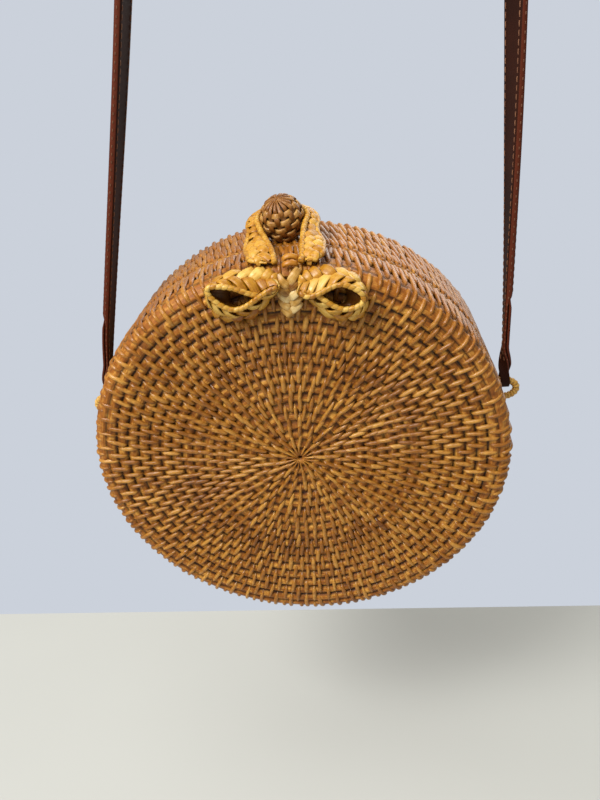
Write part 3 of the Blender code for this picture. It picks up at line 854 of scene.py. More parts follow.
def at_lashing(points: np.ndarray, reach: float) -> np.ndarray:
    """Tells which places lie at a hinge lashing.

    Args:
        points: The places.
        reach: How far to either side of a lashing counts.

    Returns:
        True or False for each place.
    """
    near = [np.abs(points[..., 0] - x) < reach for x in LASHINGS.values()]
    return np.any(near, axis=0) & (points[..., 2] < 0)


def uneven(rng: np.random.Generator, count: int, spread: float, middle: float = 0.0) -> np.ndarray:
    """One uneven number for each strand, as a column."""
    return rng.normal(middle, spread, count)[:, None]


# The two halves

@dataclass(frozen=True)
class HalfForm:
    """The outline of one half, as places over its skin."""
    depth: float
    facing: int
    half_width: float = 0.100
    edge_round: float = 0.0063
    face_dish: float = 0.0029
    wall: float = 0.0045

    @property
    def face_reach(self) -> float:
        """Length from the hub to the ridge."""
        return self.half_width - self.edge_round

    @property
    def ridge_end(self) -> float:
        """Length from the hub to the wall's start."""
        return self.face_reach + self.edge_round * QUARTER

    def at_level(self, level: float) -> float:
        """Length from the hub at which the wall is a given distance from the seam."""
        return self.ridge_end + self.depth - self.edge_round - level

    def bend(self, inset: float) -> float:
        """The ridge's radius, some way inside the outer skin."""
        return max(self.edge_round - inset, self.wall / 3)

    def place(self, length: np.ndarray, turn: np.ndarray, rise: np.ndarray | float,
              inset: float = 0.0) -> tuple[np.ndarray, np.ndarray]:
        """Finds places over the skin.

        Args:
            length: Distance from the hub, along the face, over the ridge and down the wall.
            turn: Angle round the bag, from its top towards +X.
            rise: Distance out of the skin.
            inset: How far inside the outer skin the whole form lies.

        Returns:
            The places and the outward normals.
        """
        bend = self.bend(inset)
        reach = self.half_width - inset - bend
        angle = np.clip((length - reach) / bend, 0, QUARTER)
        on_wall = np.maximum(length - reach - bend * QUARTER, 0)
        share = np.clip(length / reach, 0, 1)
        slope = np.where(length < reach, 2 * self.face_dish * share / reach, 0)
        outward = np.sin(angle) - slope
        forward = np.cos(angle)
        radius = np.minimum(length, reach) + bend * np.sin(angle) + rise * outward
        level = self.depth - inset - bend + bend * forward - on_wall - self.face_dish * (1 - share ** 2)
        radius, level, outward, forward, turn = np.broadcast_arrays(radius, level + rise * forward, outward,
                                                                    forward, turn)
        place = np.stack([radius * np.sin(turn), self.facing * level,
                          HEIGHT_SHARE * radius * np.cos(turn)], -1)
        normal = np.stack([outward * np.sin(turn), self.facing * forward,
                           outward * np.cos(turn) / HEIGHT_SHARE], -1)
        return place, unit(normal)


@dataclass
class WovenHalf:
    """One half of the bag: coil, stitches over it, wound rim and cloth lining."""
    name: str
    form: HalfForm
    body: Body
    coil: CoilFinish
    stitch: StrandFinish
    cloth: ClothFinish
    wall_levels: tuple[float, ...] = (0.0137, 0.0013)
    seed: int = 3
    hub: float = 0.0004
    row: float = 0.0052
    wall_row: float = 0.00413
    face_rows: int = 18
    families: int = 72
    fewest: int = 17
    spacing: float = 0.0047
    stitch_half: float = 0.00112
    face_lean: float = 0.06
    wall_lean: float = 0.18
    rub_depth: float = 0.0008
    rub_turn: float = 1.26
    rub_reach: float = 0.22

    def boundaries(self) -> list[float]:
        """Finds where one row of the coil meets the next.

        Returns:
            Lengths from the hub.
        """
        face = [0.0009] + [self.row * step for step in range(1, self.face_rows + 1)]
        wall = [self.form.at_level(level) for level in self.wall_levels]
        return face + [(face[-1] + wall[0]) / 2] + wall

    def build(self) -> None:
        """Makes every piece of the half."""
        shell = f"{self.name}_shell"
        hoop = f"{self.name}_rim_hoop"
        settle(self.coiled_body(), self.body, shell)
        settle(self.stitches(), self.body, shell)
        settle(self.rim(), self.body, hoop)
        settle(self.rim_wraps(), self.body, hoop)
        self.lining()

    def drift(self, length: np.ndarray) -> np.ndarray:
        """Finds how far the stitching has turned round the bag.

        Args:
            length: Lengths from the hub.

        Returns:
            The angles.
        """
        on_face = self.face_lean * np.log(np.maximum(length, 0.006) / 0.006)
        on_wall = np.maximum(length - self.form.face_reach, 0) * self.wall_lean / self.form.half_width
        return on_face + self.form.facing * on_wall

    def rubbed(self, turns: np.ndarray, run: np.ndarray) -> np.ndarray:
        """How far stitches are pressed flat where the strap's legs swing past the wall."""
        off_top = np.abs((turns + math.pi) % math.tau - math.pi)
        return self.rub_depth * np.exp(-((off_top - self.rub_turn) / self.rub_reach) ** 4) * smooth(
            (run - 0.088) / 0.010)

    def coil_height(self, length: np.ndarray) -> np.ndarray:
        """Finds how full the coil stands.

        Args:
            length: Lengths from the hub.

        Returns:
            0 in the groove between two rows to 1 on a row's crest.
        """
        start = self.boundaries()[self.face_rows]
        pitch = np.where(length < start, self.row, self.wall_row)
        phase = np.where(length < start, length, length - start) / pitch
        return np.abs(np.sin(math.pi * phase)) ** 0.7

    def coiled_body(self) -> bpy.types.Object:
        """Makes the coil itself, with its inner side and its edge.

        Returns:
            The object.
        """
        form = self.form
        columns = 240
        turn = round_turn(columns) + math.pi / columns
        end = form.at_level(0.0055)
        first, *levels = self.boundaries()[self.face_rows:]
        outer = np.concatenate([np.linspace(self.hub, first, self.face_rows * 6 + 1),
                                np.linspace(first, end, round((end - first) / 0.0008))[1:]])
        inner = np.linspace(end - 0.005, self.hub, 60)
        swell = self.coil_height(outer)
        wall = smooth((outer - first + 0.0022) / 0.0060)
        strength = np.array([0.6] + [1.0] * (len(levels) - 1))
        holes = (strength * np.exp(-(np.abs(outer[:, None] - levels) / 0.0014) ** 2)).max(axis=1)
        rise = -0.0014 + 0.0016 * swell + wall * (0.0008 - 0.0014 * swell - 0.0010 * holes)
        rise = rise - 0.0022 * (1 - smooth((outer - self.hub) / 0.0008))
        back = np.abs(np.sin(math.pi * inner / self.row)) ** 0.7
        sunk = (0.0005 * back - 0.0005)[:, None]
        points = np.concatenate([form.place(outer[:, None], turn, rise[:, None])[0],
                                 form.place(inner[:, None], turn, sunk, form.wall)[0]])
        middle = (points[:-1] + points[1:]) / 2
        cut = (np.abs(middle[..., 1]) < 0.0094) & at_lashing(middle, 0.0022)
        # painted shade: the coil's height number is 0 in the hub's hole, low in the grooves between rows and
        # the stitch holes on the wall, and half-low on the inner side
        height = np.where(outer < 0.0011, 0, swell * (1 - wall) + wall * (0.85 - 0.85 * holes))
        size = points.shape[:2]
        numbers = {key: np.broadcast_to(np.concatenate(entries)[:, None], size)
                   for key, entries in (("lane", (outer, inner)), ("height", (height, 0.5 + 0.5 * back)),
                                        ("blush", (wall, np.full(len(inner), 0.5))))}
        return mesh_object(f"{self.name}_coil", points, quads(*size)[~cut.ravel()], numbers, self.coil)

    def stitches(self) -> bpy.types.Object:
        """Makes the stitches, each over two rows and set between those of the row before.

        Returns:
            The object.
        """
        rng = np.random.default_rng(self.seed)
        gather = Strands(Section.ARCH)
        edges = self.boundaries()
        edges.append(edges[-1])
        for row in range(len(edges) - 2):
            self.stitch_row(gather, rng, row, edges)
        return gather.mesh(f"{self.name}_stitches", self.stitch)

    def stitch_row(self, gather: Strands, rng: np.random.Generator, row: int, edges: list[float]) -> None:
        """Adds one row of stitches.

        Args:
            gather: The stitches' mesh.
            rng: The source of unevenness.
            row: Which row, from the hub.
            edges: Where the coil's rows meet.
        """
        begin, middle, end = edges[row:row + 3]
        long_row = end > edges[self.face_rows - 1] + 0.001
        on_wall = row > self.face_rows
        count = min(self.families, max(self.fewest, round(math.tau * middle / self.spacing)))
        offset = 0.5 * (row % 2) if count == self.families else rng.uniform()
        if on_wall:
            count = 2 * count
            offset = 0.5 * ((row + 1) % 2)
        share = np.linspace(0, 1, 12 if long_row else 9)[None]
        turn = ((np.arange(count) + offset) / count * math.tau)[:, None]
        turn = turn + uneven(rng, count, 0.00030) / max(middle, 0.012)
        start = begin + 0.0004 + uneven(rng, count, 0.00032)
        stop = end - 0.0002 + uneven(rng, count, 0.00032)
        run = np.minimum(start * (1 - share) + stop * share, self.form.at_level(0.0007))
        out = np.minimum(run, self.form.half_width)
        sway = uneven(rng, count, 0.00050) * (share - 0.5)
        turns = turn + self.drift(run) + sway / np.maximum(out, 0.004)
        broad = 0.82 + 0.12 * smooth(run / 0.06) + (0.14 if on_wall else 0.0) * smooth((run - 0.087) / 0.010)
        half = self.stitch_half * broad * uneven(rng, count, 0.09, 1)
        half = half * (0.74 + 0.26 * smooth(share / 0.20)) * (1 - 0.42 * smooth((share - 0.74) / 0.26) ** 1.3)
        half = np.minimum(half, math.tau * out / count * 0.27)
        dive = 0.12 if long_row else 0.16
        lift = smooth(share / dive) * smooth((1 - share) / (dive * 1.5))
        crest = 0.0017 if on_wall else 0.0019 - 0.0005 * smooth((run - 0.085) / 0.010)
        rise = -0.0015 + crest * lift + uneven(rng, count, 0.0001) * lift
        rise = rise + 0.00018 * np.sin(math.pi * share) * lift - self.rubbed(turns, run)
        if row < 1:
            rise = rise - 0.0002
        place, normal = self.form.place(run, turns, rise)
        last_row = end >= edges[-1] - 1e-6
        keep = ~at_lashing(place[:, -1], 0.0028) if last_row else np.ones(count, bool)
        zone = smooth((run - 0.088) / 0.02)
        # painted shade: a darker ring round the face at 55 mm, standing for a slight step in the face's slope
        # there
        band = -0.16 * np.exp(-((run - 0.055) / 0.006) ** 2)
        tone = band + uneven(rng, count, 0.06) + 0.05 * (1 - zone)
        blush = zone * rng.uniform(0.25, 0.75, count)[:, None] + 0.06
        tint = rng.uniform(0, 1, count)
        # painted shade where each stitch dives into its hole, through its height number
        gather.add(place[keep], normal[keep], half[keep], 0.00052 if on_wall else 0.00062, tint[keep],
                   tone[keep], blush[keep], 0.10 + 0.90 * lift ** 0.8)

    def rim_line(self, steps: int) -> tuple[np.ndarray, np.ndarray]:
        """Finds the hoop's centre line.

        Args:
            steps: How many places.

        Returns:
            The places and the outward way at each.
        """
        turn = round_turn(steps)
        line = np.stack([HOOP_REACH * np.sin(turn), np.full(steps, self.form.facing * HOOP_LEVEL),
                         HOOP_REACH * HEIGHT_SHARE * np.cos(turn)], -1)
        return line, unit(np.stack([np.sin(turn), np.zeros(steps), np.cos(turn) / HEIGHT_SHARE], -1))

    def rim(self) -> bpy.types.Object:
        """The cane hoop in the edge."""
        return wound(f"{self.name}_rim", *self.rim_line(200), 0.0021, 0.05, 0.0, self.stitch, sides=10)

    def rim_wraps(self) -> bpy.types.Object:
        """Makes the windings that sew the hoop to the coil.

        Returns:
            The object.
        """
        rng = np.random.default_rng(self.seed + 50)
        line, outward = self.rim_line(2 * self.families)
        keep = ~at_lashing(line, 0.0022)
        line = line[keep]
        outward = outward[keep]
        axis = np.array((0.0, self.form.facing, 0.0))
        angle = np.radians(np.linspace(150, -150, 13))[None, :, None]
        slip = np.linspace(-0.0007, 0.0007, 13)[None, :, None] * np.cross(outward, axis)[:, None]
        around = -axis * np.cos(angle) + outward[:, None] * np.sin(angle)
        gather = Strands(Section.THREAD)
        gather.add(line[:, None] + around * 0.00222 + slip, around, 0.00115, 0.00024,
                   rng.uniform(0, 1, len(line)), tone=0.02, blush=0.35, height=0.95)
        return gather.mesh(f"{self.name}_rim_wraps", self.stitch)

    def lining(self) -> None:
        """Makes the cotton dish, puckered where it is sewn to the wall."""
        form = self.form
        columns = 160
        steps = 70
        inset = form.wall + 0.0003
        length = form.ridge_end - inset + form.depth - form.edge_round - 0.0125
        length = length + (form.bend(inset) - form.edge_round) * (QUARTER - 1)
        reach = np.linspace(0.0005, length, steps)[:, None]
        turn = round_turn(columns)[None]
        rng = np.random.default_rng(self.seed + 9)
        pucker = np.zeros((steps, columns))
        for waves in (9, 14, 23, 37):
            depth = rng.uniform(0.4, 1.0) * 0.0004
            pucker += depth * np.sin(waves * turn + rng.uniform(0, 6)) * (reach / length) ** 2
        gather = 0.0004 * np.sin(80 * turn) * smooth((reach / length - 0.88) / 0.12)
        folds = np.minimum(pucker + gather, 0.0006)
        inner, outer = (form.place(reach, turn, folds + gap - 0.0006, inset)[0] for gap in (-0.0011, -0.0003))
        points = np.concatenate([inner, outer[::-1]])
        faces = quads(2 * steps, columns, looped=True)
        item = mesh_object(f"{self.name}_cloth", points, faces, {}, self.cloth)
        settle(item, self.body, f"{self.name}_lining")
        side = 2 * length
        area = math.pi * (form.half_width - inset) ** 2 * HEIGHT_SHARE + math.tau * 0.093 * (length - 0.090)
        min(area, side * side)


# Ball, rings and lashings

@dataclass
class Ball:
    """The woven ball that the closing loop goes round."""
    finish: StrandFinish
    centre: tuple[float, float, float] = (*BALL_MIDDLE, BALL_RISE)
    radius: float = 0.0097
    half_height: float = 0.0105
    foot: float = 0.0088
    ribs: int = 16
    rounds: int = 7
    first: float = 0.68
    pitch: float = 0.315
    twist: float = 0.22
    half_thick: float = 0.00048
    tilt: tuple[float, float] = (0.42, -0.16)
    seed: int = 11

    def place(self, low: np.ndarray, turn: np.ndarray, rise: np.ndarray) -> tuple[np.ndarray, np.ndarray]:
        """Finds places over the ball.

        Args:
            low: Angles down from its tilted pole.
            turn: Angles round the pole.
            rise: Distances out of its skin.

        Returns:
            The places and the outward ways.
        """
        low, turn, rise = np.broadcast_arrays(low, turn, rise)
        way = np.stack([np.sin(low) * np.sin(turn), -np.sin(low) * np.cos(turn), np.cos(low)], -1)
        cos_f, sin_f = math.cos(self.tilt[0]), math.sin(self.tilt[0])
        cos_a, sin_a = math.cos(self.tilt[1]), math.sin(self.tilt[1])
        nod = np.array(((1, 0, 0), (0, cos_f, -sin_f), (0, sin_f, cos_f)))
        lean = np.array(((cos_a, 0, sin_a), (0, 1, 0), (-sin_a, 0, cos_a)))
        way = way @ nod.T @ lean.T
        points = way * (np.array((self.radius, self.radius, self.half_height)) + rise[..., None])
        points[..., 2] = np.maximum(points[..., 2], -self.foot)
        return points + np.array(self.centre), way

    def build(self) -> None:
        """Weaves ribs from the pole and rounds between them, over a dark core of painted shade."""
        rng = np.random.default_rng(self.seed)
        gather = Strands(Section.STRAP, closed=True)
        low = np.linspace(0.03, 2.95, 90)[None].repeat(self.ribs, 0)
        turn = round_turn(self.ribs)[:, None] + self.twist * low + rng.normal(0, 0.04, (self.ribs, 1))
        parity = np.where(np.arange(self.ribs) % 2 == 0, 1.0, -1.0)[:, None]
        woven = smooth((low - self.first + 0.1) / 0.2)
        wave = np.sin((low - self.first) / self.pitch * math.pi + QUARTER) * parity
        rise = -0.0003 + 0.00055 * (wave * woven + (1 - woven) * 0.7) - 0.0003 * np.exp(-(low / 0.16) ** 2)
        half = np.clip(math.tau * self.radius * np.sin(low) / self.ribs * 0.44, 0.00030, 0.00130)
        # painted shade where ribs and rounds dip under each other, through their height numbers
        gather.add(*self.place(low, turn, rise), half, self.half_thick, rng.uniform(0, 1, self.ribs),
                   tone=-0.10, height=0.40 + 0.60 * smooth((rise + 0.0007) / 0.0008))
        angle = np.linspace(0, math.tau, 200)[None]
        for ring in range(self.rounds):
            level = self.first + self.pitch * (ring + 0.5) + 0.03 * np.sin(angle * 2 + ring)
            swing = np.cos((angle - self.twist * level) * self.ribs / 2) * (1.0 if ring % 2 == 0 else -1.0)
            rise = -0.0003 - 0.00055 * swing
            gather.add(*self.place(level, angle, rise), self.pitch * self.radius * 0.42, self.half_thick,
                       rng.uniform(0.3, 0.7, 1), tone=0.14,
                       height=0.35 + 0.65 * smooth((rise + 0.0007) / 0.0008))
        for item in (gather.mesh("ball_weave", self.finish), self.core()):
            settle(item, Body.BACK, "ball_knob")

    def core(self) -> bpy.types.Object:
        """Makes the dark core, coloured as painted shade, that shows between the strands.

        Returns:
            The object.
        """
        size = (28, 48)
        low = np.linspace(0.001, 3.13, size[0])[:, None]
        points, _ = self.place(low, round_turn(size[1]), np.full(size, -0.0010))
        # painted shade: the core takes almost only the deep colour
        numbers = even(size, tint=0.1, along=0.0, across=0.0, tone=-0.4, blush=0.0, height=0.1)
        faces = quads(*size)[:, [0, 3, 2, 1]]
        return mesh_object("ball_shade_core", points, faces, numbers, self.finish, end_caps(*size)[1:])


@dataclass
class SideRings:
    """Oval rings of wound straw that hold the strap."""
    finish: StrandFinish
    centre: float = 0.1012
    height: float = 0.0150
    reach: float = 0.0068
    rise: float = 0.0047
    radius: float = 0.0018

    def build(self) -> None:
        """Winds both rings."""
        angle = round_turn(132)
        level = np.zeros(132)
        outward = unit(np.stack([self.rise * np.cos(angle), level, self.reach * np.sin(angle)], -1))
        for name, side in SIDES.items():
            path = np.stack([side * self.centre + self.reach * np.cos(angle), level + SET_BACK,
                             self.height + self.rise * np.sin(angle)], -1)
            item = wound(f"ring_winding_{name}", path, outward, self.radius, 0.0017, 0.34, self.finish,
                         sides=16)
            settle(item, Body.BACK, f"side_ring_{name}")


@dataclass
class HingeLashings:
    """Straw windings round both rim hoops at the bottom."""
    finish: StrandFinish
    reach: float = 0.0051
    radius: float = 0.0012

    def build(self) -> None:
        """Winds each lashing."""
        arc = np.linspace(-QUARTER, QUARTER, 40)
        share = np.linspace(0, 1, 8)[1:-1, None]
        for name, x in LASHINGS.items():
            bottom = -HEIGHT_SHARE * math.sqrt(HOOP_REACH ** 2 - x ** 2)
            front, back = (np.stack([np.full(40, x), side * (HOOP_LEVEL + self.reach * np.cos(arc)),
                                     bottom + side * self.reach * np.sin(arc)], -1) for side in (1, -1))
            path = np.concatenate([front, front[-1] * (1 - share) + back[0] * share,
                                   back, back[-1] * (1 - share) + front[0] * share])
            reference = np.tile((1.0, 0.0, 0.0), (len(path), 1))
            item = wound(f"lashing_winding_{name}", path, reference, self.radius, 0.0013, 0.3, self.finish,
                         sides=12, tone=0.02 * x)
            settle(item, Body.BACK, f"hinge_lashing_{name}")


# Bow and closing loop

@dataclass(frozen=True)
class BowLoop:
    """The sizes of one loop of the bow."""
    name: str
    side: int
    length: float
    half_height: float
    level: float
    eye_level: float
    eye_slope: float
    eye_sag: float
    eye_reach: float


@dataclass
class Bow:
    """The plaited bow: two loops, the knot over them and the winding above it."""
    finish: StrandFinish
    knot_finish: StrandFinish
    form: HalfForm
    loops: tuple[BowLoop, ...] = (
        BowLoop("left", -1, length=0.0278, half_height=0.0105, level=-0.0092, eye_level=0.0857,
                eye_slope=0.0, eye_sag=0.018, eye_reach=0.0074),
        BowLoop("right", 1, length=0.0250, half_height=0.0106, level=-0.0100, eye_level=0.0868,
                eye_slope=-0.0033, eye_sag=0.0, eye_reach=0.0080))
    middle: float = 0.0025
    knot_half: float = 0.0048
    knot_back: float = -0.0010
    knot_down: float = 0.0220
    tip: float = 0.0060
    knot_lift: float = 0.0034
    knot_share: float = 0.68
    blunt_share: float = 0.6
    eye_pinch: float = 0.0030
    eye_cross: float = 0.0016
    eye_rise: float = 0.0085
    bulge: float = 0.0012

    def on_front(self, x: np.ndarray, along: np.ndarray, rise: np.ndarray | float) -> np.ndarray:
        """Finds places over the front ridge, as the solids have them.

        Args:
            x: Places across the bag.
            along: Distances over the ridge, from its middle towards the seam.
            rise: Distances out of the skin.

        Returns:
            The places.
        """
        bend = self.form.edge_round
        angle = QUARTER / 2 + along / bend
        turn = np.clip(angle, 0, QUARTER)
        radius = self.form.face_reach + bend * (np.sin(turn) + np.minimum(angle, 0)) + rise * np.sin(turn)
        level = bend - self.form.depth - bend * np.cos(turn) + bend * np.maximum(angle - QUARTER, 0)
        return np.stack([x, level - rise * np.cos(turn), HEIGHT_SHARE * np.sqrt(radius ** 2 - x ** 2)], -1)

    def out_from_knot(self, loop: BowLoop, share: np.ndarray) -> np.ndarray:
        """Places across the bag, for shares of a loop's length."""
        return self.middle + loop.side * (self.knot_half + 0.0003 + loop.length * share)

    def rim_on_skin(self, loop: BowLoop, angle: np.ndarray) -> np.ndarray:
        """Finds a loop's outer rim.

        Args:
            loop: The loop.
            angle: Angles round its eye, from the knot.

        Returns:
            The places.
        """
        share = (1 - np.cos(angle)) / 2
        full = smooth(share * 2)
        wave = np.sign(np.sin(angle)) * np.abs(np.sin(angle)) ** self.blunt_share
        half = loop.half_height * (self.knot_share + (1 - self.knot_share) * full)
        along = loop.level + self.knot_lift * (1 - full) + half * wave
        return self.on_front(self.out_from_knot(loop, share), along, 0.0006)

    def eye(self, loop: BowLoop, angle: np.ndarray) -> np.ndarray:
        """Finds a loop's open rim, whose two sides cross near the knot.

        Args:
            loop: The loop.
            angle: Angles round its eye, from the knot.

        Returns:
            The places.
        """
        share = (1 - np.cos(angle)) / 2
        middle = loop.eye_level + loop.eye_slope * share + loop.eye_sag * (share - 0.48) ** 2
        half = loop.eye_reach * smooth(share / 0.75) - self.eye_pinch
        cross = self.eye_cross * np.sin(angle) * loop.side * (1 - smooth(share / 0.55))
        return np.stack([self.out_from_knot(loop, share), -self.form.depth - self.eye_rise - cross,
                         middle + half * np.sin(angle)], -1)

    def petal(self, loop: BowLoop, along: np.ndarray, across: np.ndarray) -> np.ndarray:
        """Finds places on a loop's band: round its eye, from the eye's rim out to the skin.

        Args:
            loop: The loop.
            along: Shares of the way round.
            across: -1 at the eye to 1 at the skin.

        Returns:
            The places.
        """
        angle = math.tau * along
        eye = self.eye(loop, angle)
        rim = self.rim_on_skin(loop, angle)
        outward = np.stack([-loop.side * np.cos(angle) * np.sin(angle / 2), np.zeros_like(angle),
                            np.sin(angle)], -1) * self.bulge
        share = ((across + 1) / 2)[..., None]
        middle = (eye + rim) / 2 + outward * 1.6
        return eye * (1 - share) ** 2 + middle * 2 * share * (1 - share) + rim * share ** 2

    def build(self) -> None:
        """Plaits the loops and the knot and winds the binding."""
        for loop in self.loops:
            for item in self.loop_pieces(loop):
                settle(item, Body.FRONT, f"bow_loop_{loop.name}")
        settle(self.knot(), Body.FRONT, "bow_knot")
        settle(self.binding(), Body.FRONT, "loop_binding")

    def loop_pieces(self, loop: BowLoop) -> list[bpy.types.Object]:
        """Makes one loop: its plait, a dark and a lighter layer of painted shade under it, and the rolled
        edge round its eye.

        Args:
            loop: The loop.

        Returns:
            The pieces.
        """
        surface = partial(self.petal, loop)
        gather = Strands(Section.STRAP, closed=True)
        Plait(15, 0.00225, closed=True, seed=21 + loop.side).weave(gather, part_of(surface, 0.10, 0.84),
                                                                   -loop.side)
        made = [gather.mesh(f"bow_plait_{loop.name}", self.finish)]
        # painted shade: both layers under the plait are darkened; the inner one, drawn into the eye, takes
        # almost only the deep colour
        for ending, drawn, height in (("", 0.5, 0.18), ("_outer", 0.0, 0.50)):
            levels = {"tint": 0.4, "tone": -0.3, "blush": 0.0, "height": height}
            made.append(under_layer(f"bow_shade_backing_{loop.name}{ending}", surface, np.arange(96) / 96,
                                    np.linspace(-0.98, 0.96, 9), loop.side * (0.0006 + drawn * 0.0010), 7,
                                    self.finish, levels, True, drawn))
        steps = 260
        place, normal = band_frame(surface, np.arange(steps) / steps, np.full(steps, -0.86))
        inward = -normal * loop.side
        made.append(wound(f"bow_rim_{loop.name}", place + inward * 0.0002, inward, 0.00122, 0.0024, 0.22,
                          self.finish))
        return made

    def knot_band(self, along: np.ndarray, across: np.ndarray) -> np.ndarray:
        """Finds places on the knot's band, which is drawn to a point.

        Args:
            along: Shares of its length, from the top.
            across: Shares of its half width.

        Returns:
            The places.
        """
        run = self.knot_back - (self.knot_down + self.knot_back) * along
        half = self.knot_half * 0.92 * np.clip((run + self.knot_down) / self.tip, 0.05, 1) ** 0.8
        return self.on_front(self.middle + half * across, run, 0.0022 + 0.0007 * (1 - across ** 2))

    def knot(self) -> bpy.types.Object:
        """Plaits the band over the bow's middle.

        Returns:
            The object.
        """
        gather = Strands(Section.STRAP, closed=True)
        Plait(5, 0.00185, lift=0.0010, sweep=1.5, past=0.25, seed=33).weave(gather, self.knot_band, -1.0)
        return gather.mesh("knot_plait", self.knot_finish)

    def binding(self) -> bpy.types.Object:
        """Winds the short binding above the knot: strands laid side by side across it.

        Returns:
            The object.
        """
        rng = np.random.default_rng(8)
        share = np.linspace(-1, 1, 30)
        level = np.full(30, 0.7)
        x = self.middle + 0.0008 + 0.0026 * share
        rise = 0.0018 + 0.0015 * np.sqrt(np.maximum(1 - share ** 2, 0))
        up = unit(np.stack([share * 0.8, -level, level], -1))
        gather = Strands(Section.STRAP, closed=True)
        for row in range(2):
            path = self.on_front(x, 0.0002 + 0.0025 * row + 0.0002 * share, rise)
            gather.add(path[None], up[None], 0.00125, 0.0008, rng.uniform(0.2, 0.6, 1), tone=-0.1, blush=0.5)
        return gather.mesh("binding_winding", self.finish)


@dataclass(frozen=True)
class Strip:
    """A bent strip: its inner edge, its way across, its normal and its width at places of a ruler."""
    ruler: np.ndarray
    edge: np.ndarray
    across: np.ndarray
    up: np.ndarray
    width: np.ndarray
    crown: float = 0.0006

    def place(self, along: np.ndarray, side: np.ndarray) -> np.ndarray:
        """Finds places on the strip.

        Args:
            along: Shares of its length.
            side: -1 at its inner edge to 1 at its outer one.

        Returns:
            The places.
        """
        edge, across, up, width = (read_off(along, self.ruler, table)
                                   for table in (self.edge, self.across, self.up, self.width))
        share = ((side + 1) / 2)[..., None]
        return edge + across * width * share + up * (self.crown * (1 - side[..., None] ** 2))


